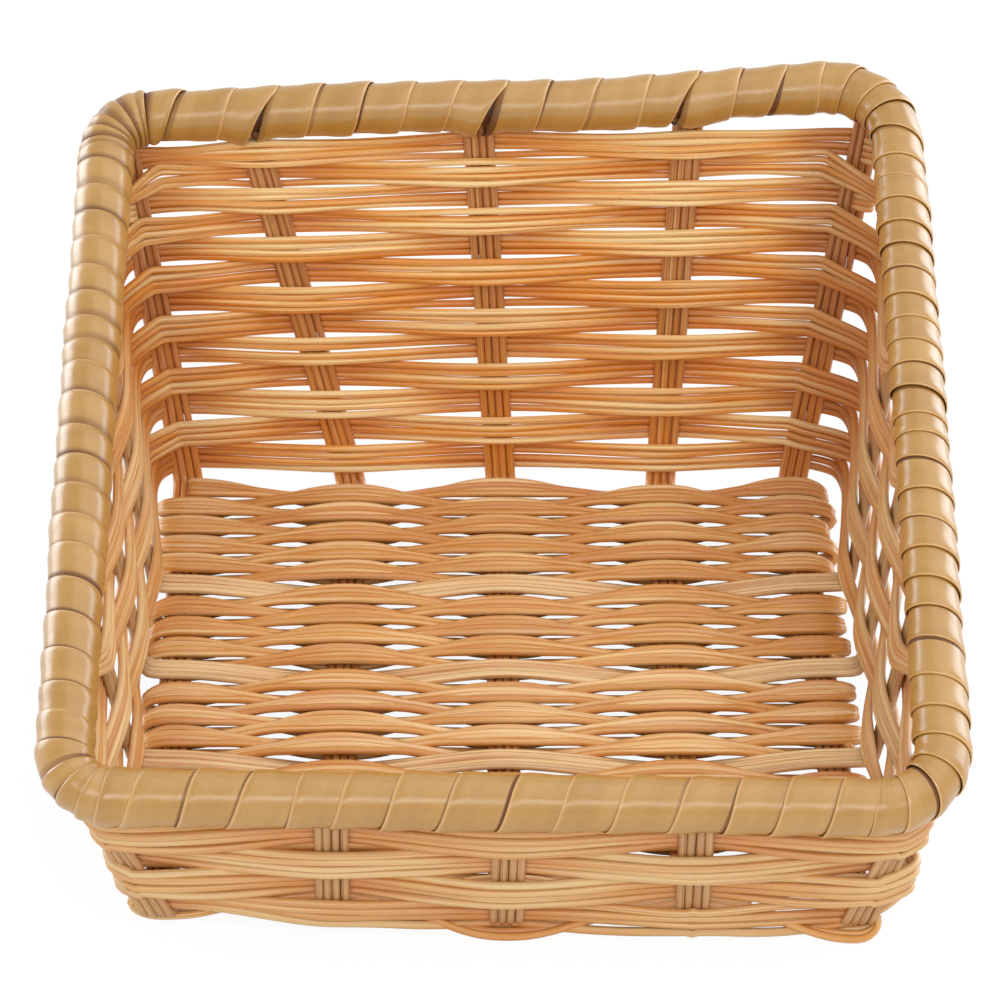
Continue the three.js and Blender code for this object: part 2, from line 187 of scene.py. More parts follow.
@dataclass
class ReedMesh:
    """Gathers strands and strips into one mesh and keeps coordinates that run along their grain."""

    points: list[Array] = field(default_factory=list)
    faces: list[list[int]] = field(default_factory=list)
    grain: list[Array] = field(default_factory=list)
    tone: list[Array] = field(default_factory=list)
    edge: list[Array] = field(default_factory=list)
    total: int = 0
    unevenness: Span = (0.04, 60.0)
    end_taper: float = 0.55
    grain_spread: float = 90.0

    def add_rings(self, rings: Array, grain: Array, tone: Array | float, edge: Array | None = None,
                  closed: bool = False) -> None:
        """Adds a tube made of rings of points.

        Args:
            rings: Points, one row of points per ring.
            grain: Grain coordinates of the same points.
            tone: Shade of the tube, or on the strip how far a point lies from the turn on top of it, in
                widths of the crease.
            edge: How far a wall strand is outside the stakes, or on the strip the share of its width up to
                the free edge. It is 0 where nothing is given.
            closed: Whether the last ring joins the first one.
        """
        count, sides = rings.shape[:2]
        here = self.total + np.arange(count * sides).reshape(count, sides)
        after = np.roll(here, -1, axis=0)
        beside = np.roll(here, -1, axis=1)
        corner = np.roll(after, -1, axis=1)
        quads = np.stack([here, beside, corner, after], axis=2)
        if not closed:
            quads = quads[:-1]
        self.faces.extend(quads.reshape(-1, 4).tolist())
        if not closed:
            self.faces.append(here[0][::-1].tolist())
            self.faces.append(here[-1].tolist())
        self.points.append(rings.reshape(-1, 3))
        self.grain.append(grain.reshape(-1, 3))
        self.tone.append(np.broadcast_to(tone, (count, sides)).reshape(-1))
        self.edge.append(np.zeros(count * sides) if edge is None else edge.reshape(-1))
        self.total += count * sides

    def add_strand(self, path: Array, reference: Array, radius: float, rng: Rng,
                   closed: bool = False, sides: int = 8, out: Array | None = None,
                   tones: Span = (0.0, 1.0)) -> None:
        """Adds one round strand.

        Args:
            path: Points of its centre line.
            reference: Direction, or one per point, that is never along the strand.
            radius: Radius in millimetres.
            rng: Source of its shade, thickness and grain.
            closed: Whether the strand is a loop.
            sides: Points round the strand.
            out: How far outside the stakes each point lies, from -1 inside to 1 outside.
            tones: Range of its shade, where 0 is deep and 1 is pale.
        """
        if closed:
            along = unit(np.roll(path, -1, axis=0) - np.roll(path, 1, axis=0))
        else:
            along = unit(np.gradient(path, axis=0))
        reference = np.broadcast_to(reference, path.shape)
        across = unit(reference - along * np.sum(reference * along, axis=1, keepdims=True))
        outward = np.cross(along, across)
        run = run_along(path)
        angle = TURN * np.arange(sides) / sides
        thick = radius * (1 + waver(rng, run, *self.unevenness))
        if not closed:
            thick[[0, -1]] *= self.end_taper
        spoke = (across[:, None] * np.cos(angle)[None, :, None]
                 + outward[:, None] * np.sin(angle)[None, :, None])
        rings = path[:, None] + spoke * thick[:, None, None]
        grain = np.empty_like(rings)
        grain[..., 0] = np.cos(angle)[None]
        grain[..., 1] = np.sin(angle)[None]
        grain[..., 2] = run[:, None] / GRAIN_RUN
        grain += rng.uniform(0, self.grain_spread, 3)
        edge = None if out is None else np.repeat(out, sides)
        self.add_rings(rings, grain, float(rng.uniform(*tones)), edge, closed)

    def build(self, name: str, node: str, slot: str, finish: Material) -> bpy.types.Object:
        """Makes the object, which rides on the basket and stands for one node of the frame.

        Args:
            name: Name of the new piece.
            node: Node that it stands for.
            slot: Material slot of the record. It is not used.
            finish: Its material.

        Returns:
            The new object.
        """
        mesh = bpy.data.meshes.new(name)
        mesh.from_pydata((np.concatenate(self.points) * MM).tolist(), [], self.faces)
        mesh.polygons.foreach_set("use_smooth", np.ones(len(mesh.polygons), dtype=bool))
        grain = mesh.attributes.new("grain", "FLOAT_VECTOR", "POINT")
        grain.data.foreach_set("vector", np.concatenate(self.grain).astype(np.float32).ravel())
        for title, values in (("tone", self.tone), ("edge", self.edge)):
            layer = mesh.attributes.new(title, "FLOAT", "POINT")
            layer.data.foreach_set("value", np.concatenate(values).astype(np.float32))
        mesh.materials.append(finish)
        mesh.update()
        piece = bpy.data.objects.new(name, mesh)
        bpy.context.scene.collection.objects.link(piece)
        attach(piece, "root")
        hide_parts(node)
        LOG.info("%s: %d points, %d faces", name, len(mesh.vertices), len(mesh.polygons))
        return piece


# Plan of the basket


class RimPiece(IntEnum):
    """The pieces of the rim, clockwise from above: four sides, each followed by its bend."""

    BACK = 0
    BACK_RIGHT = 1
    RIGHT = 2
    FRONT_RIGHT = 3
    FRONT = 4
    FRONT_LEFT = 5
    LEFT = 6
    BACK_LEFT = 7


@dataclass
class RimLine:
    """The line of the rim. Its corners and bows follow the order of RimPiece."""

    width: float = 286.0
    depth: float = 281.4
    skew: float = 3.7
    back_height: float = 158.4
    back_rise: float = 10.0
    front_height: float = 55.6
    corners: tuple[float, ...] = (15.5, 26.0, 23.0, 17.0)
    bows: tuple[float, ...] = (0.0, 0.7, 0.0, 0.4)
    back_sag: float = 2.9
    sag_place: float = 34.0
    sag_reach: float = 48.0
    front_widening: Span = (-1.6, 0.2)
    roundness: float = 0.5523
    samples: int = 160
    tangent_reach: float = 0.6

    def __post_init__(self) -> None:
        """Samples the eight pieces of the line."""
        half, deep, rise = self.width / 2, self.depth / 2, self.back_rise / 2
        right, left = self.front_widening
        corners = [
            np.array([-half, deep - self.skew, self.back_height - rise]),
            np.array([half, deep + self.skew, self.back_height + rise]),
            np.array([half + right, -deep - self.skew, self.front_height]),
            np.array([-half - left, -deep + self.skew, self.front_height]),
        ]
        self.sides = [self.side(corners, i, self.bows[i]) for i in range(4)]
        t = np.linspace(0.0, 1.0, self.samples)[:, None]
        points = []
        for i, (start, middle, end) in enumerate(self.sides):
            points.append(arc(start, middle, end, t))
            corner, to = corners[(i + 1) % 4], self.sides[(i + 1) % 4][0]
            first, second = mix(end, corner, self.roundness), mix(to, corner, self.roundness)
            bend = (1 - t) ** 3 * end + 3 * t * (1 - t) ** 2 * first
            points.append(bend + 3 * t ** 2 * (1 - t) * second + t ** 3 * to)
        back = points[RimPiece.BACK]
        back[:, 2] -= self.back_sag * np.exp(-((back[:, 0] - self.sag_place) / self.sag_reach) ** 2)
        self.line = np.concatenate([piece[:-1] for piece in points] + [back[:1]])
        self.run = run_along(self.line)
        self.length = float(self.run[-1])
        self.ends = [float(self.run[(piece + 1) * (self.samples - 1)]) for piece in RimPiece]

    def side(self, corners: Sequence[Array], number: int, bow: float) -> tuple[Array, Array, Array]:
        """One side between two bends, as the points of a quadratic curve.

        Args:
            corners: The four corners.
            number: Number of the side.
            bow: How far its middle stands out.

        Returns:
            Start, control point and end.
        """
        start, end = corners[number], corners[(number + 1) % 4]
        along = unit(end - start)
        first = start + along * self.corners[number]
        last = end - along * self.corners[(number + 1) % 4]
        outward = unit(np.cross(UP, along))
        return first, mix(first, last, 0.5) + outward * 2 * bow, last

    def place(self, distance: Array | float) -> Array:
        """Points of the line at distances along it."""
        wrapped = np.mod(np.asarray(distance, dtype=float), self.length)
        return np.stack([np.interp(wrapped, self.run, self.line[:, axis]) for axis in range(3)], axis=-1)

    def along(self, distance: Array | float) -> Array:
        """Directions of the line at distances along it."""
        distance = np.asarray(distance, dtype=float)
        return unit(self.place(distance + self.tangent_reach) - self.place(distance - self.tangent_reach))

    def distance(self, piece: RimPiece, share: float) -> float:
        """Distance along the line of a share of one of its pieces."""
        start = 0.0 if piece == RimPiece.BACK else self.ends[piece - 1]
        return mix(start, self.ends[piece], share)

    def around(self, distance: Array, radius: Array | float, angle: Array) -> Array:
        """Points on a ring round the line.

        Args:
            distance: Distances along the line.
            radius: Distances from the line.
            angle: Turns from straight down, in radians, by way of the outer side.

        Returns:
            Points of the same shape as the distances.
        """
        along = self.along(distance)
        down = unit(-UP + along * np.sum(UP * along, axis=-1, keepdims=True))
        side = np.cross(along, down)
        radius = np.asarray(radius)[..., None]
        return (self.place(distance) + radius * down * np.cos(angle)[..., None]
                + radius * side * np.sin(angle)[..., None])


@dataclass(frozen=True)
class WallStake:
    """Line of one stake up a wall, or of a place where the rows turn a corner."""

    foot: Array
    head: Array
    along: Array
    travel: Array
    distance: float
    sag: float = 0.0

    @property
    def slope(self) -> Array:
        """Direction up the stake."""
        return unit(self.head - self.foot)

    @property
    def at_bend(self) -> bool:
        """Whether the head is at one of the rim's bends, where the rim runs along neither X nor Y."""
        return abs(self.along[0] * self.along[1]) > ASLANT

    @property
    def on_side(self) -> bool:
        """Whether the stake is on the left or the right wall."""
        return abs(self.travel[1]) > SIDEWAYS


@dataclass
class BasketPlan:
    """Stakes and rows that the sub-assemblies share."""

    rim: RimLine = field(default_factory=RimLine)
    base_half_width: float = 127.7
    base_depth: float = 259.0
    base_offset: float = -8.0
    panel_margin: float = 5.5
    corner_inset: float = 14.7
    stake_shares: tuple[float, ...] = (-1.0, -0.504, 0.0, 0.54, 1.0)
    back_heads: tuple[float, ...] = (-0.65, -0.063, 0.4825)
    front_heads: tuple[float, ...] = (-0.3965, 0.0112, 0.43)
    rows_before_side: tuple[int, ...] = (10, 7, 7, 7)
    rows_at_front: int = 3
    stake_thickness: float = 3.0
    stake_width: float = 11.5
    crossing_width: float = 8.4
    clearance: float = 0.45
    base_thickness: float = 3.0
    wall_thickness: float = 2.6
    base_row_gap: float = 0.45
    wall_rows: int = 13
    full_rings: int = 4
    front_first: float = 3.4
    back_first: float = 9.8
    back_loss: float = 0.22
    back_top_gap: float = 4.1
    back_rows_height: float = 159.3
    row_tilt: float = 1.8
    rim_allowance: float = 9.8
    front_sag: tuple[float, ...] = (-0.4, -0.6, 3.8, 3.2, 4.6)
    back_shift: tuple[float, ...] = (-6.0, 0.0, 0.0, 0.0, -1.5)
    front_shift: tuple[float, ...] = (-1.0, 0.0, 0.0, 0.0, 2.2)
    foot_sag_share: float = 0.6
    before_corners: tuple[int, ...] = (LAST_LEFT, BACK_RIGHT, LAST_RIGHT, FRONT_LEFT)
    outer_turns: tuple[tuple[RimPiece, float, float, float], ...] = (
        (RimPiece.BACK_LEFT, 0.28, -126.0, 116.5), (RimPiece.BACK_RIGHT, 0.72, 124.5, 117.5),
        (RimPiece.FRONT_RIGHT, 0.28, 129.0, -136.5), (RimPiece.FRONT_LEFT, 0.72, -121.5, -131.0))
    inner_turns: tuple[tuple[RimPiece, float, float, float], ...] = (
        (RimPiece.LEFT, 0.93, -131.5, 103.5), (RimPiece.RIGHT, 0.07, 131.5, 104.5),
        (RimPiece.RIGHT, 0.93, 131.0, -119.0), (RimPiece.LEFT, 0.07, -127.0, -118.0))
    turn_travel: Span = (0.62, 0.78)

    def __post_init__(self) -> None:
        """Works out the feet, rows and stakes."""
        half_stake = self.stake_thickness / 2
        self.stake_plane = self.stake_thickness + self.clearance + half_stake
        self.base_wave = half_stake + self.clearance + self.base_thickness / 2
        self.feet = [share * (self.base_half_width - self.corner_inset) for share in self.stake_shares]
        self.back_wall = self.base_offset + self.base_depth / 2
        self.front_wall = self.base_offset - self.base_depth / 2
        self.front_pitch = (self.rim.front_height - self.rim_allowance - self.front_first) / self.full_rings
        loss = self.back_loss * self.wall_rows * (self.wall_rows - 1) / 2
        room = self.back_rows_height - self.rim_allowance - self.back_top_gap - self.back_first
        self.back_pitch = (room + loss) / self.wall_rows
        self.plan_base_rows()
        self.backs = [self.end_stake(i, True) for i in range(LONG_STAKES)]
        self.fronts = [self.end_stake(i, False) for i in range(LONG_STAKES)]
        self.rights = [self.side_stake(y, 1) for _, y in self.crossings]
        self.lefts = [self.side_stake(y, -1) for _, y in self.crossings]
        self.ring = self.backs + self.rights + self.fronts[::-1] + self.lefts[::-1]
        outer = [self.wall_turn(*turn, False) for turn in self.outer_turns]
        inner = [self.wall_turn(*turn, True) for turn in self.inner_turns]
        self.corner_turns = dict(zip(self.before_corners, outer))
        self.side_turns = dict(zip(self.before_corners, inner))

    def plan_base_rows(self) -> None:
        """Places the base rows from back to front, with a slot for each side stake."""
        panel = self.base_depth - 2 * self.panel_margin
        slot = self.crossing_width + self.base_row_gap
        count = sum(self.rows_before_side) + self.rows_at_front
        self.base_pitch = (panel - len(self.rows_before_side) * slot) / count
        self.sections: list[list[tuple[int, float]]] = []
        self.crossings: list[tuple[int, float]] = []
        edge, row = self.base_offset + panel / 2, 0
        for rows in (*self.rows_before_side, self.rows_at_front):
            section = []
            for _ in range(rows):
                section.append((row, edge - self.base_pitch / 2))
                edge -= self.base_pitch
                row += 1
            self.sections.append(section)
            if len(self.crossings) < len(self.rows_before_side):
                self.crossings.append((row, edge - slot / 2))
                edge -= slot
                row += 1

    def stake(self, foot: Array, distance: float, travel: Array, sag: float = 0.0) -> WallStake:
        """A stake from its foot to a place on the rim."""
        return WallStake(foot, self.rim.place(distance), self.rim.along(distance), travel, distance, sag)

    def head_distance(self, piece: RimPiece, axis: int, value: float) -> float:
        """Distance along the rim where one of its four sides reaches a coordinate."""
        start, _, end = self.rim.sides[piece // 2]
        return self.rim.distance(piece, (value - start[axis]) / (end[axis] - start[axis]))

    def end_stake(self, number: int, back: bool) -> WallStake:
        """The part of a long stake on the back or the front wall.

        Args:
            number: Number of the stake from the left.
            back: Whether it is the part on the back wall.

        Returns:
            Its line.
        """
        wall, travel = (self.back_wall, ALONG_X) if back else (self.front_wall, -ALONG_X)
        sag = 0.0 if back else self.front_sag[number]
        shift = (self.back_shift if back else self.front_shift)[number]
        foot = np.array([self.feet[number] + shift, wall - sag, self.stake_plane])
        if number in (0, LONG_STAKES - 1):
            left, right = ((RimPiece.BACK_LEFT, RimPiece.BACK_RIGHT) if back
                           else (RimPiece.FRONT_LEFT, RimPiece.FRONT_RIGHT))
            return self.stake(foot, self.rim.distance(right if number else left, 0.5), travel, sag)
        shares = self.back_heads if back else self.front_heads
        value = shares[number - 1] * self.rim.width / 2
        head = self.head_distance(RimPiece.BACK if back else RimPiece.FRONT, 0, value)
        return self.stake(foot, head, travel, sag)

    def stake_x(self, number: int, y: float) -> float:
        """Place of a long stake on the base, from side to side, at a distance from front to back."""
        share = (y - self.front_wall) / self.base_depth
        return self.feet[number] + mix(self.front_shift[number], self.back_shift[number], share)

    def wall_turn(self, piece: RimPiece, share: float, x: float, y: float, inside: bool) -> WallStake:
        """The line beside a corner stake where rows turn into the next wall.

        Args:
            piece: Piece of the rim above it.
            share: Share of that piece where its head is.
            x: Place of its foot from side to side.
            y: Place of its foot from front to back.
            inside: Whether the rows come from inside the corner stake, and so run straight along the side.

        Returns:
            The line, with the direction in which rows pass it.
        """
        sideways, lengthways = self.turn_travel
        travel = unit(np.array([math.copysign(sideways, y), -math.copysign(lengthways, x), 0.0]))
        if inside:
            travel = -ALONG_Y if x > 0 else ALONG_Y
        return self.stake(np.array([x, y, self.stake_plane]), self.rim.distance(piece, share), travel)

    def side_stake(self, y: float, side: int) -> WallStake:
        """The part of a cross stake on the left or the right wall.

        Args:
            y: Place of the cross stake from front to back.
            side: 1 on the right wall, -1 on the left.

        Returns:
            Its line.
        """
        foot = np.array([side * self.base_half_width, y, self.stake_plane + self.base_wave])
        head_y = (y - self.base_offset) * self.rim.depth / self.base_depth
        head = self.head_distance(RimPiece.RIGHT if side > 0 else RimPiece.LEFT, 1, head_y)
        return self.stake(foot, head, -side * ALONG_Y)

    def row_edge(self, stake: WallStake, n: int) -> float:
        """Height of the lower edge of a wall row at a stake.

        Args:
            stake: The stake.
            n: How many rows lie below this one.

        Returns:
            The height in millimetres.
        """
        share = float(np.clip((stake.foot[1] - self.front_wall) / self.base_depth, 0, 1))
        tilt = share * self.row_tilt * n / self.wall_rows
        front = self.front_first + self.front_pitch * n
        back = self.back_first + self.back_pitch * n - self.back_loss * n * (n - 1) / 2
        lower = self.foot_sag_share * stake.sag if n == 0 else 0.0
        return mix(front, back, share) + tilt * stake.foot[0] / self.base_half_width - lower

    def ceiling(self, stake: WallStake) -> float:
        """Height that a row stays below under the sloping rim.

        Args:
            stake: The stake that it passes.

        Returns:
            The height in millimetres.
        """
        level = math.hypot(stake.along[0], stake.along[1])
        half = self.stake_width / 2 + self.clearance + self.wall_thickness / 2
        return stake.head[2] - self.rim_allowance / level - half * abs(stake.along[2]) / level

    def reach(self, number: int) -> list[int]:
        """The stakes that a row passes.

        Args:
            number: Number of the row, 1 at the top.

        Returns:
            Their places in the ring, which start below 0 where the row starts on the left wall.
        """
        total, backs, sides = len(self.ring), len(self.backs), len(self.rights)
        if number > self.wall_rows - self.full_rings:
            return list(range(total))
        n = self.wall_rows - number
        right, left = backs - 1, 0
        while right + 1 < backs + sides and self.fits(self.ring[right + 1], n):
            right += 1
        while 1 - left <= sides and self.fits(self.ring[total + left - 1], n):
            left -= 1
        return list(range(left, right + 1))

    def fits(self, stake: WallStake, n: int) -> bool:
        """Whether row n still goes under the rim at a stake."""
        return self.row_edge(stake, n + 1) < self.ceiling(stake)


# Finishes


@dataclass
class Value:
    """A number that varies over a surface. Plain arithmetic on it adds Math nodes."""

    sheet: "Sheet"
    socket: Socket

    def maths(self, operation: str, first: "Value | float", second: "Value | float") -> "Value":
        """One Math node."""
        made = self.sheet.node("ShaderNodeMath", {"operation": operation}, {0: first, 1: second})
        return Value(self.sheet, made.outputs[0])

    def __add__(self, other: "Value | float") -> "Value":
        """Sum."""
        return self.maths("ADD", self, other)

    def __radd__(self, other: float) -> "Value":
        """Sum with a number first."""
        return self.maths("ADD", other, self)

    def __sub__(self, other: "Value | float") -> "Value":
        """Difference."""
        return self.maths("SUBTRACT", self, other)

    def __rsub__(self, other: float) -> "Value":
        """Difference from a number."""
        return self.maths("SUBTRACT", other, self)

    def __mul__(self, other: "Value | float") -> "Value":
        """Product."""
        return self.maths("MULTIPLY", self, other)

    def __rmul__(self, other: float) -> "Value":
        """Product with a number first."""
        return self.maths("MULTIPLY", other, self)

    def __pow__(self, other: float) -> "Value":
        """Power."""
        return self.maths("POWER", self, other)

    def clamped(self) -> "Value":
        """The number kept from 0 to 1."""
        made = self.sheet.node("ShaderNodeClamp", {}, {"Value": self})
        return Value(self.sheet, made.outputs[0])


@dataclass
class Sheet:
    """The node sheet of a material or of the world."""

    owner: Material | bpy.types.World

    @classmethod
    def empty(cls, owner: Material | bpy.types.World) -> "Sheet":
        """A sheet without nodes.

        Args:
            owner: The material or world that it belongs to.

        Returns:
            The sheet.
        """
        owner.use_nodes = True
        owner.node_tree.nodes.clear()
        return cls(owner)

    def node(self, kind: str, settings: dict[str, object], inputs: dict[str | int, object]) -> bpy.types.Node:
        """Adds a node.

        Args:
            kind: The node's type.
            settings: Its settings, which are set first. Stops are those of a colour ramp.
            inputs: A value, Value or socket for each of its inputs, by name or number.

        Returns:
            The node.
        """
        made = self.owner.node_tree.nodes.new(kind)
        for key, setting in settings.items():
            if key == "stops":
                ramp = made.color_ramp.elements
                while len(ramp) < len(setting):
                    ramp.new(0.5)
                for stop, (place, colour) in zip(ramp, setting):
                    stop.position = place
                    stop.color = (*colour, 1.0)
            else:
                setattr(made, key, setting)
        for key, given in inputs.items():
            given = given.socket if isinstance(given, Value) else given
            if isinstance(given, Socket):
                self.owner.node_tree.links.new(given, made.inputs[key])
            else:
                made.inputs[key].default_value = given
        return made

    def number(self, attribute: str) -> Value:
        """A number that the mesh carries."""
        made = self.node("ShaderNodeAttribute", {"attribute_name": attribute}, {})
        return Value(self, made.outputs["Fac"])

    def noise(self, vector: Socket, scale: float, detail: float) -> Value:
        """Fractal noise, mostly from 0.3 to 0.7."""
        made = self.node("ShaderNodeTexNoise", {}, {"Vector": vector, "Scale": scale, "Detail": detail})
        return Value(self, made.outputs["Fac"])

    def grain_noise(self, across: float, along: float, detail: float) -> Value:
        """Noise laid along the strands.

        Args:
            across: Waves per unit across the strand.
            along: Waves per unit along it.
            detail: Detail of the noise.

        Returns:
            The noise.
        """
        grain = self.node("ShaderNodeAttribute", {"attribute_name": "grain"}, {}).outputs["Vector"]
        scaled = self.node("ShaderNodeVectorMath", {"operation": "MULTIPLY"},
                           {0: grain, 1: (across, across, along)})
        return self.noise(scaled.outputs[0], 1.0, detail)

    def place(self) -> Socket:
        """The object's own coordinates, in metres."""
        return self.node("ShaderNodeTexCoord", {}, {}).outputs["Object"]

    def coordinate(self, axis: str) -> Value:
        """One of the object's own coordinates, in metres."""
        return Value(self, self.node("ShaderNodeSeparateXYZ", {}, {0: self.place()}).outputs[axis])

    def spread(self, value: Value, low: float = 0.3, high: float = 0.7) -> Value:
        """A number taken gently from low..high, which is the usual span of noise, to 0..1."""
        made = self.node("ShaderNodeMapRange", {"interpolation_type": "SMOOTHSTEP"},
                         {"Value": value, "From Min": low, "From Max": high})
        return Value(self, made.outputs[0])

    def ramp(self, value: Value, stops: Sequence[tuple[float, Colour]]) -> Socket:
        """A colour for each number."""
        return self.node("ShaderNodeValToRGB", {"stops": stops}, {"Fac": value}).outputs["Color"]

    def blend(self, share: Value | float, under: Socket, over: Colour) -> Socket:
        """A colour with a share of another laid over it."""
        made = self.node("ShaderNodeMix", {"data_type": "RGBA"}, {0: share, 6: under, 7: (*over, 1.0)})
        return made.outputs[2]

    def bump(self, height: Value, strength: float, distance: float,
             below: Socket | None = None) -> Socket:
        """A bumped normal.

        Args:
            height: The height, from 0 to 1.
            strength: Strength of the bump.
            distance: What a height of 1 stands for, in metres.
            below: The normal that it adds to, if it isn't the mesh's own.

        Returns:
            The normal.
        """
        inputs: dict[str | int, object] = {"Height": height, "Strength": strength, "Distance": distance}
        if below is not None:
            inputs["Normal"] = below
        return self.node("ShaderNodeBump", {}, inputs).outputs["Normal"]

    def surface(self, inputs: dict[str | int, object]) -> Material:
        """Ends the sheet with one shader.

        Args:
            inputs: The shader's inputs.

        Returns:
            The finished material.
        """
        shader = self.node("ShaderNodeBsdfPrincipled", {}, inputs)
        self.node("ShaderNodeOutputMaterial", {}, {"Surface": shader.outputs[0]})
        return self.owner


def srgb(red: int, green: int, blue: int) -> Colour:
    """A colour written in 0..255, as the linear colour that a shader takes."""
    return tuple((c / 255 / 12.92) if c <= 10 else ((c / 255 + 0.055) / 1.055) ** 2.4
                 for c in (red, green, blue))


@dataclass(frozen=True)
class ReedFinish:
    """Peeled and sealed reed with fine lines along it.

    The zones are spans of the basket's own coordinates in metres, and of the square of X for the sides.
    They lay painted light and shade over the reed: painted shade at the front, painted light and shade on
    the side walls, painted shade in the back corners and on the right wall, and a painted glow low on the
    back wall.
    """

    name: str
    pale: Colour
    middle: Colour
    deep: Colour
    dark: Colour
    tone_share: float = 0.4
    streak_share: float = 0.4
    fibre_share: float = 0.36
    stain_share: float = 0.16
    darkening: float = 0.17
    stain_scale: float = 22.0
    roughness: float = 0.42
    roughness_span: float = 0.25
    coat: float = 0.4
    coat_roughness: float = 0.25
    bump_strength: float = 0.55
    line_depth: float = 0.00012
    fibre_height: float = 0.6
    line_height: float = 0.4
    fibre_grain: Grain = (3.2, 2.6, 4.0)
    streak_grain: Grain = (0.9, 1.4, 2.0)
    blush_grain: Grain = (0.35, 0.8, 1.0)
    blush_span: Span = (0.5, 0.68)
    line_grain: Grain = (4.5, 0.5, 3.0)
    line_span: Span = (0.36, 0.44)
    stops: Span = (0.42, 0.84)
    # Painted shade: a greyer tan over the front, which lies in slight shade, away from the warm light bounced
    # inside the basket
    front_painted_shade: Colour = srgb(194, 156, 108)
    front_shade_gain: float = 1.3
    # Painted light and shade on the side walls: a paler tan on the wall strands, with less of the warm bounce
    # light painted than on the back wall; on the stakes a darker brown, a painted shadow from where they bend
    # up the side walls
    side_painted_shading: Colour = srgb(216, 180, 134)
    # Share of the painted shading at the front and on the side walls
    painted_shading_share: float = 0.0
    blush: Colour = srgb(204, 132, 92)
    blush_share: float = 0.3
    line_share: float = 0.5
    front_zone: Span = (-0.128, -0.108)
    side_zone: Span = (0.0142, 0.0164)
    back_zone: Span = (0.085, 0.115)
    corner_zone: Span = (0.096, 0.122)
    # Painted shade in the back corners, where the rows turn round the corner stakes, weaker in the left
    # corner
    corner_painted_shade: Colour = srgb(172, 106, 56)
    corner_shade_share: float = 0.0
    left_corner_shading: float = 0.4
    # Painted shade over the inner face of the right wall, which lies away from the light
    right_painted_shade: Colour = srgb(156, 108, 72)
    right_shade_share: float = 0.0
    # Painted glow: more orange low on the back wall, near the base
    foot_zone: Span = (0.01, 0.1)
    foot_painted_glow: Colour = srgb(232, 148, 52)
    foot_glow_share: float = 0.0
    # Painted shade: a deeper orange on the strands that lie behind the stakes seen from the front of the
    # basket, outside them on the back wall and inside them at the front; the same number makes the other
    # strands paler, as painted light
    outer_painted_shade: Colour = srgb(206, 122, 44)
    outer_shade_span: Span = (-0.1, 0.9)
    outer_shade_gain: float = 3.6
    outer_painted_shading: float = 0.0
    # Turns the painted shade round at the front, where the strands inside the stakes lie behind
    front_reversal: float = 1.8

    def make(self) -> Material:
        """The material: tone by strand, lines along the grain, slow stains over the basket, painted light and
        shade.

        Returns:
            The material.
        """
        sheet = Sheet.empty(bpy.data.materials.new(self.name))
        fibres = sheet.grain_noise(*self.fibre_grain)
        streaks = sheet.grain_noise(*self.streak_grain)
        stains = sheet.noise(sheet.place(), self.stain_scale, 3.0)
        blush = sheet.spread(sheet.grain_noise(*self.blush_grain), *self.blush_span)
        lines = sheet.spread(sheet.grain_noise(*self.line_grain), *self.line_span)
        sideways, lengthways = sheet.coordinate("X"), sheet.coordinate("Y")
        # Mask of the painted shade at the front
        front = 1 - sheet.spread(lengthways, *self.front_zone)
        back = sheet.spread(lengthways, *self.back_zone)
        # Mask of the painted light and shade on the side walls
        sides = sheet.spread(sideways ** 2, *self.side_zone) * (1 - front) * (1 - back)
        # Painted shade in the back corners, weaker on the left; the right-hand mask also serves the painted
        # shade of the right wall
        right = sheet.spread(sideways, *self.corner_zone)
        left = sheet.spread(0 - sideways, *self.corner_zone)
        corners = (right + left * self.left_corner_shading) * back
        # Mask of the painted glow low on the back wall
        feet = (1 - sheet.spread(sheet.coordinate("Z"), *self.foot_zone)) * back
        # Which side of the stakes gets the painted shade and which side the painted light: outside at the
        # back, inside at the front
        outer = sheet.number("edge") * (1 - front * self.front_reversal)
        shade = (sheet.number("tone") * self.tone_share + sheet.spread(streaks) * self.streak_share
                 + sheet.spread(fibres) * self.fibre_share + sheet.spread(stains) * self.stain_share
                 - self.darkening - outer * self.outer_painted_shading)
        colour = sheet.ramp(shade.clamped(), (
            (0.0, self.deep), (self.stops[0], self.middle), (self.stops[1], self.pale), (1.0, self.pale)))
        # Painted light and shade come first, then the blush and the dark lines along the grain, which are the
        # reed's own colour
        for share, over in (
                (front * self.painted_shading_share * self.front_shade_gain, self.front_painted_shade),
                (sheet.spread(outer, *self.outer_shade_span) * self.outer_painted_shading * self.outer_shade_gain, self.outer_painted_shade),
                (sides * self.painted_shading_share, self.side_painted_shading),
                (corners * self.corner_shade_share, self.corner_painted_shade),
                (sides * right * self.right_shade_share, self.right_painted_shade),
                (feet * self.foot_glow_share, self.foot_painted_glow),
                (blush * self.blush_share, self.blush),
                ((1 - lines) * self.line_share, self.dark)):
            colour = sheet.blend(share, colour, over)
        return sheet.surface({
            "Base Color": colour,
            "Roughness": self.roughness + (fibres - 0.5) * self.roughness_span,
            "Coat Weight": self.coat,
            "Coat Roughness": self.coat_roughness,
            "Normal": sheet.bump(fibres * self.fibre_height + lines * self.line_height,
                                 self.bump_strength, self.line_depth),
        })


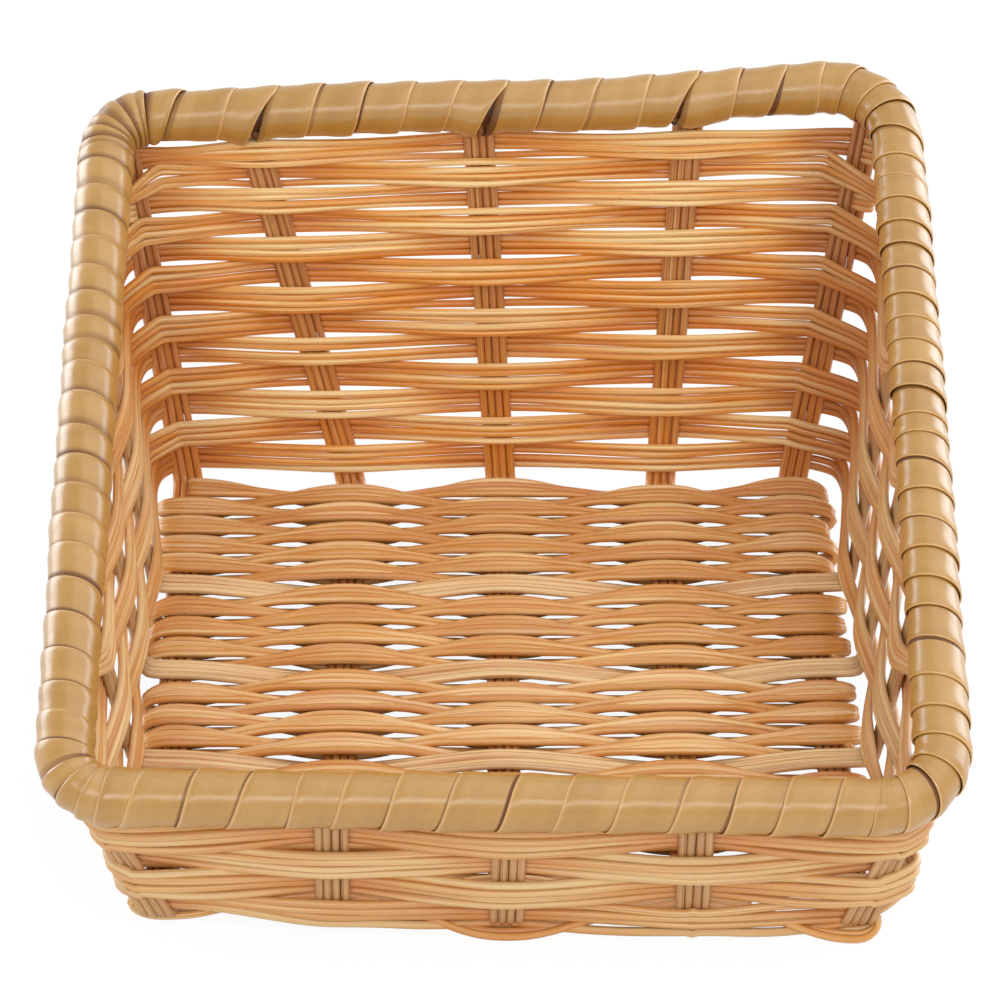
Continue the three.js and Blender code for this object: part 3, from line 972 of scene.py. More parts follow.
@dataclass(frozen=True)
class StripFinish:
    """Flat binding strip: smooth, glossy, with a pale cut edge, faint lines along it and painted shadow in
    its creases.
    """

    name: str = "rim_strip"
    pale: Colour = srgb(198, 151, 80)
    middle: Colour = srgb(179, 131, 54)
    deep: Colour = srgb(160, 112, 36)
    free_edge: Colour = srgb(226, 176, 112)
    edge_zone: Span = (0.93, 0.985)
    edge_share: float = 0.6
    # Painted shadow: dark brown in the crease just past the free edge of the turn on top, where that turn
    # shades the one below
    crease: Colour = srgb(100, 54, 22)
    crease_zone: Span = (0.1, 1.2)
    crease_least: float = 0.32
    crease_span: float = 0.62
    shade_least: float = 0.3
    cloud_share: float = 0.34
    line_share: float = 0.1
    roughness: float = 0.34
    cloud_roughness: float = 0.18
    dent_roughness: float = 0.5
    crease_roughness: float = 0.3
    coat: float = 0.75
    coat_roughness: float = 0.28
    coat_ior: float = 1.62
    ripple_grain: Grain = (0.8, 9.0, 2.0)
    ripple_depth: float = 0.0006
    dent_grain: Grain = (3.2, 30.0, 2.0)
    dent_depth: float = 0.0005
    rough_strength: float = 0.5
    line_grain: Grain = (14.0, 0.9, 3.0)
    line_depth: float = 0.00008
    line_strength: float = 0.35
    cloud_grain: Grain = (1.3, 5.0, 2.0)
    cloud_span: Span = (0.25, 0.75)
    crease_grain: Grain = (0.6, 2.2, 1.0)
    depth_span: Span = (0.36, 0.6)

    def make(self) -> Material:
        """The material: shade by turn, lines along the strip, pale free edge, painted shadow in the crease.

        Returns:
            The material.
        """
        sheet = Sheet.empty(bpy.data.materials.new(self.name))
        lines = sheet.grain_noise(*self.line_grain)
        cloud = sheet.grain_noise(*self.cloud_grain)
        depth = sheet.spread(sheet.grain_noise(*self.crease_grain), *self.depth_span)
        ripple = sheet.grain_noise(*self.ripple_grain)
        dents = sheet.grain_noise(*self.dent_grain)
        shade = (self.shade_least + sheet.spread(cloud, *self.cloud_span) * self.cloud_share
                 + sheet.spread(lines) * self.line_share)
        colour = sheet.ramp(shade.clamped(), ((0.0, self.deep), (0.5, self.middle), (1.0, self.pale)))
        edge = sheet.spread(sheet.number("edge"), *self.edge_zone)
        colour = sheet.blend(edge * self.edge_share, colour, self.free_edge)
        # Painted shadow in the crease, darker in patches; the coat is left out there
        crease = 1 - sheet.spread(sheet.number("tone"), *self.crease_zone)
        dark = crease * (self.crease_least + depth * self.crease_span)
        colour = sheet.blend(dark, colour, self.crease)
        rippled = sheet.bump(ripple, self.rough_strength, self.ripple_depth)
        rough = sheet.bump(dents, self.rough_strength, self.dent_depth, rippled)
        return sheet.surface({
            "Base Color": colour,
            "Roughness": (self.roughness + (cloud - 0.5) * self.cloud_roughness
                          + (dents - 0.5) * self.dent_roughness + dark * self.crease_roughness),
            "Coat Weight": (1 - dark) * self.coat,
            "Coat Roughness": self.coat_roughness,
            "Coat IOR": self.coat_ior,
            "Normal": sheet.bump(lines, self.line_strength, self.line_depth, rough),
        })


# Sub-assemblies


@dataclass
class SubAssembly:
    """A part of the basket that builds its own pieces."""

    plan: BasketPlan
    finish: Material


@dataclass
class StakeBundles(SubAssembly):
    """Bundles of round reeds: five from front to back and four from side to side."""

    reeds: int = 4
    reed_radius: float = 1.48
    radius_span: Span = (0.95, 1.04)
    bend: float = 4.0
    bend_points: int = 7
    bend_widening: float = 0.6
    climb_points: int = 40
    narrow_pitch: float = 2.55
    crossing_points: int = 24
    crossing_pull: float = 0.9
    crossing_drop: float = 0.35
    stacking: float = 2.2
    wander: Span = (0.12, 120.0)
    lift_wander: Span = (0.1, 150.0)
    long_tones: Span = (-0.4, 0.5)
    cross_tones: Span = (1.1, 1.8)
    step: float = 2.4
    long_seed: int = 11
    cross_seed: int = 21

    @property
    def full_width(self) -> float:
        """Distance between the outer reeds where all lie side by side."""
        return (self.reeds - 1) * 2 * self.reed_radius * LAID_CLOSE

    def climb(self, stake: WallStake, inward: Array, width: float) -> Line:
        """Centre line of a bundle up a wall.

        Args:
            stake: The stake's line.
            inward: Direction from the foot into the base.
            width: Distance between the outer reeds on the base.

        Returns:
            Points from the base to the head, the bundle's width direction and its width at each.
        """
        t = np.linspace(0, 1, self.bend_points)[:, None]
        top = stake.foot + stake.slope * self.bend
        curve = arc(stake.foot + inward * self.bend, stake.foot, top, t)
        shares = np.linspace(0, 1, self.climb_points)[1:, None]
        points = np.concatenate([curve, top + (stake.head - top) * shares])
        flat = ALONG_Y if stake.on_side else ALONG_X
        head = stake.along if stake.along @ flat > 0 else -stake.along
        wide = unit(mix(flat, head, np.concatenate([np.zeros_like(t), shares])))
        widened = mix(self.bend_widening, 1.0, shares[:, 0])
        risen = ease(np.concatenate([t[:, 0] * self.bend_widening, widened]))
        return points, wide, mix(width, self.full_width, risen)

    def long_line(self, number: int) -> Line:
        """Centre line of a long stake from its front head to its back head.

        Args:
            number: Number of the stake from the left, from 0.

        Returns:
            Points, width directions and widths.
        """
        full = self.full_width
        front = self.climb(self.plan.fronts[number], ALONG_Y, full)
        back = self.climb(self.plan.backs[number], -ALONG_Y, full)
        return self.joined(front, back, None, full)

    def cross_line(self, number: int) -> Line:
        """Centre line of a cross stake from its left head to its right head.

        Args:
            number: Number of the stake from the back, from 0.

        Returns:
            Points, width directions and widths.
        """
        plan = self.plan
        row, y = plan.crossings[number]
        narrow = (self.reeds - 1) * self.narrow_pitch
        left = self.climb(plan.lefts[number], ALONG_X, narrow)
        right = self.climb(plan.rights[number], -ALONG_X, narrow)
        tops = []
        for stake in range(LONG_STAKES):
            sign = 1 if (row + stake) % 2 == 0 else -1
            height = plan.stake_plane + sign * (plan.base_wave - self.crossing_drop)
            tops.append(np.array([plan.stake_x(stake, y), y, height]))
        t = np.linspace(0, 1, self.crossing_points)
        spans = []
        for a, b in zip(tops, tops[1:]):
            pull = ALONG_X * np.linalg.norm(b - a) * self.crossing_pull
            spans.append(hermite(a, b, pull, pull, t)[:-1])
        return self.joined(left, right, np.concatenate(spans + [tops[-1][None]]), narrow)

    @staticmethod
    def joined(first: Line, last: Line, middle: Array | None, width: float) -> Line:
        """One line from the head of the first climb to the head of the last.

        Args:
            first: The first climb, from the base up.
            last: The last climb, from the base up.
            middle: Points between them, if there are any.
            width: Width of the bundle between them.

        Returns:
            Points, width directions and widths.
        """
        flat = first[1][0]
        rows = [part[::-1] for part in first]
        if middle is not None:
            rows[0] = np.concatenate([rows[0], middle])
            rows[1] = np.concatenate([rows[1], np.broadcast_to(flat, middle.shape)])
            rows[2] = np.concatenate([rows[2], np.full(len(middle), width)])
        return tuple(np.concatenate([a, b]) for a, b in zip(rows, last))

    def build(self) -> None:
        """Builds the nine bundles."""
        for i in range(LONG_STAKES):
            self.bundle(f"long_stake_{i + 1}", self.long_line(i), self.long_seed + i, self.long_tones)
        for i in range(len(self.plan.crossings)):
            self.bundle(f"cross_stake_{i + 1}", self.cross_line(i), self.cross_seed + i, self.cross_tones)

    def bundle(self, node: str, line: Line, seed: int, tones: Span) -> None:
        """Builds one bundle.

        Args:
            node: Node that it stands for.
            line: Points, width directions and widths.
            seed: Seed of its small differences.
            tones: Range of its reeds' shade.
        """
        points, wide, widths = line
        rng = np.random.default_rng(seed)
        run = run_along(points)
        even = np.linspace(0, run[-1], int(run[-1] / self.step))
        stack = np.concatenate([points, wide, widths[:, None]], axis=1)
        stack = np.stack([np.interp(even, run, column) for column in stack.T], axis=1)
        points, wide, widths = stack[:, :3], unit(stack[:, 3:6]), stack[:, 6]
        along = unit(np.gradient(points, axis=0))
        face = np.cross(along, wide)
        mesh = ReedMesh()
        for reed in range(self.reeds):
            share = reed / (self.reeds - 1) - 0.5
            side = share * widths + waver(rng, even, *self.wander)
            squeeze = np.clip(1 - widths / self.full_width, 0, 1)
            lift = (-1) ** reed * squeeze * self.stacking + waver(rng, even, *self.lift_wander)
            path = points + wide * side[:, None] + face * lift[:, None]
            mesh.add_strand(path, wide, self.reed_radius * rng.uniform(*self.radius_span), rng, tones=tones)
        mesh.build(f"{node}_reeds", node, "stake_reed", self.finish)


class Pass(NamedTuple):
    """How a row passes one stake."""

    place: Array
    across: Array
    outward: Array
    wide: Array
    width: float
    full: float
    side: float
    wave: float
    arrive: Array
    leave: Array
    pull: float


@dataclass
class WallWeave(SubAssembly):
    """Rows of four round strands in and out of the wall stakes.

    Pairs for the side walls and the tails are (left, right) and (turned, tucked). The corners are numbered
    0 back left, 1 back right, 2 front right, 3 front left.
    """

    strands: int = 4
    radius: float = 1.46
    wave: float = 2.65
    side_waves: Span = (2.7, 3.7)
    side_fills: Span = (1.14, 1.0)
    corner_fill: float = 1.2
    corner_lift: dict[int, float] = field(default_factory=lambda: {10: -1.0, 12: 1.4})
    front_inside: float = 0.76
    front_depth: float = 30.0
    foot_room: Span = (4.0, 2.0)
    top_room: float = 0.6
    corner_cuts: dict[int, float] = field(default_factory=lambda: {1: -5.5})
    row_cuts: dict[int, dict[int, float]] = field(default_factory=lambda: {2: {0: 11.0, 1: -13.0}})
    pull: float = 0.8
    inside_pull: float = 0.65
    outside_pull: float = 0.5
    turn_share: float = 0.62
    tuck_climb: float = 0.4
    tuck_depth: float = 1.5
    tail_room: float = 0.8
    tail_turn: float = 0.94
    tail_points: int = 12
    tail_squeezes: Span = (0.86, 0.4)
    stagger: float = 0.4
    shuffle: float = 0.22
    radius_span: Span = (0.93, 1.06)
    wander: Span = (0.2, 130.0)
    least_points: int = 6
    corner_stakes: dict[int, int] = field(default_factory=lambda: {
        BACK_LEFT: 0, BACK_RIGHT: 1, FRONT_RIGHT: 2, FRONT_LEFT: 3})
    reached_from_side: tuple[int, ...] = (0, 2)
    diagonals: tuple[Array, ...] = tuple(np.array([x, y, 0.0]) for x, y in (
        (0.66, 0.75), (0.66, -0.75), (-0.66, -0.75), (-0.66, 0.75)))
    loop_fade: float = 0.3
    step: float = 2.2
    seed: int = 101

    @property
    def full_spread(self) -> float:
        """Distance between the outer strands where all lie side by side."""
        return (self.strands - 1) * 2 * self.radius * LAID_CLOSE

    def build(self) -> None:
        """Builds all the rows."""
        for number in range(1, self.plan.wall_rows + 1):
            self.row(number)

    def passes(self, number: int) -> dict[str, Array]:
        """How a row passes each of its stakes, as one array for each field of Pass."""
        found = [self.pass_at(number, *stop) for stop in self.stops(number)]
        return {key: np.array(values) for key, values in zip(Pass._fields, zip(*found))}

    def pass_at(self, number: int, stake: WallStake, side: float, corner: int) -> Pass:
        """How a row passes one stake.

        Args:
            number: Number of the row, 1 at the top.
            stake: The stake, or the line of a turn.
            side: 1 outside it, -1 inside it, or between them.
            corner: Number of its corner, or -1.

        Returns:
            The place on the wall's middle line, directions along the row, outward and up the wall, the room
            up the wall, the least spread, the side, and how the strands swing and curve.
        """
        plan, n = self.plan, self.plan.wall_rows - number
        low = plan.row_edge(stake, n)
        if n == 0 and side < 0:
            room, sag_share = self.foot_room
            low = max(low, stake.foot[2] + room - sag_share * stake.sag)
        high = min(plan.row_edge(stake, n + 1), plan.ceiling(stake) + self.top_room)
        front = stake.foot[1] < plan.front_wall + self.front_depth and not stake.on_side
        front_corner = front and stake.at_bend and side > 0
        middle = (low + high) / 2 + (self.corner_lift.get(number, 0.0) if front_corner else 0.0)
        rise = (middle - stake.foot[2]) / (stake.head[2] - stake.foot[2])
        across = unit(mix(stake.travel, stake.along, max(0.0, rise)) * np.array([1, 1, 0]))
        cuts = self.row_cuts.get(number, self.corner_cuts)
        cut = cuts.get(corner, 0.0) if side < 0 else 0.0
        fill, wave = self.corner_fill if front_corner else 1.0, self.wave
        if stake.on_side:
            to_right = int(stake.foot[0] > 0)
            fill, wave = self.side_fills[to_right], self.side_waves[to_right]
        arrive = leave = across
        pull = self.outside_pull if stake.at_bend and side > 0 else self.pull
        if corner >= 0 and side < 0:
            from_side = corner in self.reached_from_side
            arrive, leave = self.diagonals[corner], stake.travel
            arrive, leave = (arrive, leave) if from_side else (leave, arrive)
            pull = self.inside_pull
        return Pass(
            place=mix(stake.foot, stake.head, rise) + across * cut, across=across,
            outward=unit(np.cross(stake.slope, across)), wide=stake.slope,
            width=(high - low) / stake.slope[2] * fill,
            full=self.full_spread * (self.front_inside if front and side < 0 else 1.0),
            side=side, wave=wave, arrive=arrive, leave=leave, pull=pull)

    def stops(self, number: int) -> list[tuple[WallStake, float, int]]:
        """The stakes and corner turns that a row passes.

        Args:
            number: Number of the row.

        Returns:
            Each stake with 1 for outside or -1 for inside, and its corner, or -1 where it has none.
        """
        plan = self.plan
        total = len(plan.ring)
        closed = number > plan.wall_rows - plan.full_rings
        reach = plan.reach(number)
        found = []
        for place, m in enumerate(reach):
            index = m % total
            side = 1.0 if (index + number) % 2 == 1 else -1.0
            tucked = not closed and side < 0
            if place == 0 and index == 0 and tucked:
                found.append((plan.side_turns[LAST_LEFT], self.turn_share, -1))
            found.append((plan.ring[index], side, self.corner_stakes.get(index, -1)))
            corner_side = side if index in (BACK_RIGHT, FRONT_LEFT) else -side
            within = closed or place < len(reach) - 1 or (index == BACK_RIGHT and tucked)
            if index in plan.corner_turns and within:
                turns = plan.corner_turns if corner_side > 0 else plan.side_turns
                found.append((turns[index], self.turn_share, -1))
        return found

    def row(self, number: int) -> None:
        """Builds one row.

        Args:
            number: Number of the row, 1 at the top.
        """
        closed = number > self.plan.wall_rows - self.plan.full_rings
        at = self.passes(number)
        rng = np.random.default_rng(self.seed + number)
        count = len(at["place"])
        jitter = rng.normal(0, self.shuffle, (count, self.strands))
        mesh = ReedMesh()
        for strand in range(self.strands):
            path, wide, out = self.strand_path(at, strand, jitter[:, strand], closed, rng)
            radius = self.radius * rng.uniform(*self.radius_span)
            mesh.add_strand(path, wide, radius, rng, closed, out=out)
        node = f"wall_weaver_{number:02d}"
        mesh.build(f"{node}_strands", node, "wall_reed", self.finish)

    def strand_path(self, at: dict[str, Array], strand: int, jitter: Array, closed: bool,
                    rng: Rng) -> Line:
        """Centre line of one strand of a row.

        Args:
            at: The row's passes.
            strand: Number of the strand from the lowest.
            jitter: Small shift at each pass, in millimetres.
            closed: Whether the row goes all the way round.
            rng: Source of the strand's waver.

        Returns:
            Its points, the direction up the wall and the share outward at each.
        """
        count = len(at["place"])
        share = strand / (self.strands - 1) - 0.5
        spans = count if closed else count - 1
        points, wides, shifts, outs = [], [], [], []
        for i in range(spans):
            j = (i + 1) % count
            gap = np.linalg.norm(at["place"][j] - at["place"][i])
            t = np.arange(0, 1, 1 / max(self.least_points, round(gap / self.step)))
            leave = self.tangent(at, i, "leave", closed) * at["pull"][i] * gap
            arrive = self.tangent(at, j, "arrive", closed) * at["pull"][j] * gap
            base = hermite(at["place"][i], at["place"][j], leave, arrive, t)
            wide = unit(mix(at["wide"][i], at["wide"][j], t[:, None]))
            outward = unit(mix(at["outward"][i], at["outward"][j], t[:, None]))
            share_out = mix(at["side"][i], at["side"][j], swung(math.pi * t))
            swing = mix(at["wave"][i], at["wave"][j], t) * share_out
            crown = share_out ** 2
            room = mix(at["width"][i], at["width"][j], t) - 2 * self.radius
            full = mix(at["full"][i], at["full"][j], t)
            full = np.where(full < self.full_spread - TINY, full, np.maximum(room, full))
            shifts.append(share * mix(room, full, crown) + mix(jitter[i], jitter[j], ease(t)))
            swing = swing + self.stagger * (-1) ** strand * (1 - crown)
            points.append(base + outward * swing[:, None])
            wides.append(wide)
            outs.append(share_out)
        if not closed:
            points.append(at["place"][-1:] + at["outward"][-1:] * at["wave"][-1] * at["side"][-1])
            wides.append(at["wide"][-1:])
            room = max(at["width"][-1] - 2 * self.radius, self.full_spread)
            shifts.append(np.array([share * room + jitter[-1]]))
            outs.append(at["side"][-1:])
        path, wide, shift = np.concatenate(points), np.concatenate(wides), np.concatenate(shifts)
        out = np.concatenate(outs)
        for _ in range(2):
            path = rounded(path, closed)
        if not closed:
            path, wide, shift, out = self.with_tails(at, path, wide, shift, out)
        run = np.linspace(0, len(path) * self.step, len(path))
        fade = np.sin(math.pi * np.linspace(0, 1, len(path))) ** self.loop_fade if closed else 1.0
        shift = shift + waver(rng, run, *self.wander) * fade
        return path + wide * shift[:, None], wide, out

    def tangent(self, at: dict[str, Array], i: int, way: str, closed: bool) -> Array:
        """Direction in which a row arrives at a pass or leaves it.

        Args:
            at: The row's passes.
            i: Number of the pass.
            way: Which of the two is meant, arrive or leave.
            closed: Whether the row goes all the way round.

        Returns:
            The direction, with the climb to the passes beside this one.
        """
        count = len(at["place"])
        before = at["place"][(i - 1) % count if closed else max(i - 1, 0)]
        after = at["place"][(i + 1) % count if closed else min(i + 1, count - 1)]
        chord = after - before
        climb = chord[2] / max(math.hypot(chord[0], chord[1]), TINY)
        return unit(at[way][i] + UP * climb)

    def tucked(self, place: Array, offset: Array, across: Array, steps: int) -> Array:
        """The end of a row that climbs under the rim and stops inside its binding.

        Args:
            place: Place on the wall's middle line where the end begins.
            offset: How far the row lies beside it there.
            across: Direction in which the row runs on.
            steps: Number of points.

        Returns:
            The points after the first.
        """
        rim, start = self.plan.rim, place + offset
        above = self.plan.head_distance(RimPiece.RIGHT if start[0] > 0 else RimPiece.LEFT, 1, start[1])
        along = rim.along(above)
        room = rim.place(above)[2] - start[2] - self.tuck_depth
        run = room / (self.tuck_climb + along[2] / along[1])
        share = np.linspace(0, 1, steps + 1)[1:, None]
        return start + across * run * share + (UP * run * self.tuck_climb - offset) * ease(share)

    def with_tails(self, at: dict[str, Array], path: Array, wide: Array, shift: Array,
                   out: Array) -> tuple[Array, Array, Array, Array]:
        """Adds a row's ends: tucked under the rim on a side wall, turned round the stake at a back corner.

        Args:
            at: The row's passes.
            path: Points of the strand.
            wide: Direction up the wall at each.
            shift: Shift up the wall at each.
            out: Share outward at each.

        Returns:
            The four arrays with the tails.
        """
        half = self.plan.stake_width / 2 + self.radius + self.tail_room
        angle = np.linspace(0, math.pi * self.tail_turn, self.tail_points)[1:]
        tucks = [bool(abs(at["across"][end][1]) > SIDEWAYS) for end in (0, -1)]
        squeeze = np.linspace(1, self.tail_squeezes[any(tucks)], len(angle))
        turned = np.ones(len(angle)) if any(tucks) else np.cos(angle)
        parts = []
        for end, heading, tuck in zip((0, -1), (-1.0, 1.0), tucks):
            across = at["across"][end] * heading
            swing = at["wave"][end] * at["side"][end]
            if tuck:
                tail = self.tucked(at["place"][end], at["outward"][end] * swing, across, len(angle))
            else:
                tail = at["place"][end] + across * (half * np.sin(angle))[:, None]
                tail = tail + at["outward"][end] * (swing * np.cos(angle))[:, None]
            parts.append(tail)
        first, last = parts[0][::-1], parts[1]
        path = np.concatenate([first, path, last])
        wide = np.concatenate([np.broadcast_to(at["wide"][0], first.shape), wide,
                               np.broadcast_to(at["wide"][-1], last.shape)])
        shift = np.concatenate([shift[0] * squeeze[::-1], shift, shift[-1] * squeeze])
        out = np.concatenate([out[0] * turned[::-1], out, out[-1] * turned])
        return path, wide, shift, out


@dataclass
class BaseWeave(SubAssembly):
    """Rows of four round strands that go to and fro across the long stakes."""

    strands: int = 4
    radius: float = 1.33
    radius_span: Span = (0.94, 1.05)
    crown: float = 2.75
    waist: float = 1.3
    turn_waist: float = 1.25
    pinch_power: float = 3.2
    rise: float = 3.2
    spread_lift: float = 0.6
    over_shares: tuple[float, ...] = (0.95, 1.35, 1.0, 1.2, 1.0)
    front_stretch: float = 1.25
    last_over: float = 6.0
    under_places: tuple[float, ...] = (9.0, 0.0, 1.8, 0.0, 1.0)
    shuffle: float = 0.28
    wander: Span = (0.14, 90.0)
    lift_wander: Span = (0.1, 70.0)
    turn_points: int = 16
    turn_room: float = 2.6
    turn_unevenness: float = 4.0
    last_turn: float = 0.8
    last_end: float = 6.0
    step: float = 2.0
    seed: int = 301

    def build(self) -> None:
        """Builds the five panels."""
        for number, section in enumerate(self.plan.sections):
            rng = np.random.default_rng(self.seed + number)
            mesh = ReedMesh()
            jitter = rng.normal(0, self.shuffle, (len(section), LONG_STAKES))
            for strand in range(self.strands):
                path = self.strand_path(section, strand, jitter, rng)
                mesh.add_strand(path, ALONG_Y, self.radius * rng.uniform(*self.radius_span), rng)
            node = f"base_weaver_{number + 1}"
            mesh.build(f"{node}_strands", node, "base_reed", self.finish)

    def strand_path(self, section: list[tuple[int, float]], strand: int, jitter: Array,
                    rng: Rng) -> Array:
        """Centre line of one strand, row after row.

        Args:
            section: Number and place of each row of the panel.
            strand: Number of the strand in its row.
            jitter: Shift of each row at each stake, in millimetres.
            rng: Source of the strand's waver.

        Returns:
            Its points.
        """
        plan, share = self.plan, strand - (self.strands - 1) / 2
        lift = self.spread_lift * (-1) ** strand
        lines = []
        for i, (row, _) in enumerate(section):
            order = list(range(LONG_STAKES))[::1 if i % 2 == 0 else -1]
            feet = [plan.stake_x(stake, self.row_y(section, i, stake)) for stake in range(LONG_STAKES)]
            for a, b in zip(order, order[1:]):
                t = np.linspace(0, 1, int(abs(feet[b] - feet[a]) / self.step))[:-1]
                x = mix(feet[a], feet[b], t)
                level = swung(math.pi * t)
                z = plan.stake_plane + mix(self.height(row, a), self.height(row, b), level)
                pinch = np.sin(math.pi * t) ** self.pinch_power
                side = share * mix(self.crown, self.waist, pinch)
                centre = mix(self.row_y(section, i, a), self.row_y(section, i, b), level)
                centre = centre + mix(jitter[i, a], jitter[i, b], level)
                lines.append(np.stack([x, centre + side, z + lift * pinch], axis=1))
            lines.append(self.turn(section, i, order[-1], share, jitter))
        path = resample(np.concatenate(lines), self.step)
        run = np.arange(len(path)) * self.step
        path[:, 1] += waver(rng, run, *self.wander)
        path[:, 2] += waver(rng, run, *self.lift_wander)
        return path

    def height(self, row: int, stake: int) -> float:
        """Height of a row above the stakes' level where it crosses one."""
        return self.rise * self.over_shares[stake] if (row + stake) % 2 == 0 else -self.rise

    def row_y(self, section: list[tuple[int, float]], i: int, stake: int) -> float:
        """Place of a row at a stake. The last row of all lies in the bend of the front wall.

        Args:
            section: The panel's rows.
            i: Number of the row in the panel.
            stake: Number of the stake.

        Returns:
            The place from front to back, in millimetres.
        """
        row, y = section[i]
        if section is not self.plan.sections[-1]:
            return y
        if i < len(section) - 1:
            start = self.plan.crossings[-1][1] - self.plan.crossing_width / 2
            return start + (y - start) * self.front_stretch
        foot = self.plan.fronts[stake].foot[1]
        return foot + (self.last_over if (row + stake) % 2 == 0 else self.under_places[stake])

    def turn(self, section: list[tuple[int, float]], i: int, stake: int, share: float,
             jitter: Array) -> Array:
        """Half turn round an outer stake, from one row to the next, or into the last row's end.

        Args:
            section: The panel's rows.
            i: The row that ends here.
            stake: Number of the outer stake.
            share: Place of the strand in its row.
            jitter: Shift of each row at each stake.

        Returns:
            Points of the turn.
        """
        plan = self.plan
        row = section[i][0]
        heading = 1 if stake else -1
        last_row = i == len(section) - 1
        angle = np.linspace(0, math.pi * (self.last_turn if last_row else 1.0), self.turn_points)
        start = self.row_y(section, i, stake) + jitter[i, stake]
        end, room = start + self.last_end, 0.0
        if not last_row:
            end = self.row_y(section, i + 1, stake) + jitter[i + 1, stake]
            room = self.turn_room + self.turn_unevenness * abs(jitter[i, LONG_STAKES // 2])
        reach = plan.stake_width / 2 + self.radius + room
        x = plan.stake_x(stake, start) + heading * reach * np.sin(angle)
        level = swung(angle)
        z = plan.stake_plane + mix(self.height(row, stake), self.height(row + 1, stake), level)
        pinch = np.sin(angle) ** 2
        side = share * mix(self.crown, self.waist * self.turn_waist, pinch)
        y = mix(start, end, ease(angle / math.pi)) + side
        return np.stack([x, y, z], axis=1)


@dataclass
class RimRod(SubAssembly):
    """The round rod inside the rim."""

    radius: float = 7.0
    sides: int = 14
    step: float = 4.0
    seed: int = 5

    def build(self) -> None:
        """Builds the rod as one hoop."""
        path = self.plan.rim.place(np.arange(0, self.plan.rim.length, self.step))
        mesh = ReedMesh()
        rng = np.random.default_rng(self.seed)
        mesh.add_strand(path, UP, self.radius, rng, closed=True, sides=self.sides)
        mesh.build("rim_rod", "rim_core", "rim_rod", self.finish)


@dataclass(frozen=True)
class Winding:
    """How the strip is wound on one piece of the rim: turn to turn, and the crease with its painted shadow,
    in millimetres.
    """

    pitch: float
    crease: float


WINDINGS = {
    RimPiece.BACK: Winding(17.2, 0.6),
    RimPiece.BACK_RIGHT: Winding(9.5, 0.35),
    RimPiece.RIGHT: Winding(11.8, 0.35),
    RimPiece.FRONT_RIGHT: Winding(8.6, 0.12),
    RimPiece.FRONT: Winding(17.3, 0.55),
    RimPiece.FRONT_LEFT: Winding(5.6, 0.6),
    RimPiece.LEFT: Winding(11.7, 2.7),
    RimPiece.BACK_LEFT: Winding(4.4, 2.6),
}

# Section of the strip: shares of its width up to the free edge, and of its thickness
STRIP_PROFILE = np.array([
    [0.0, 0.0], [0.3, 0.0], [0.6, 0.0], [0.85, 0.0], [1.0, 0.0], [1.0, 0.65], [0.985, 1.0],
    [0.85, 1.0], [0.7, 1.0], [0.5, 1.0], [0.3, 1.0], [0.12, 1.0], [0.0, 0.6]])


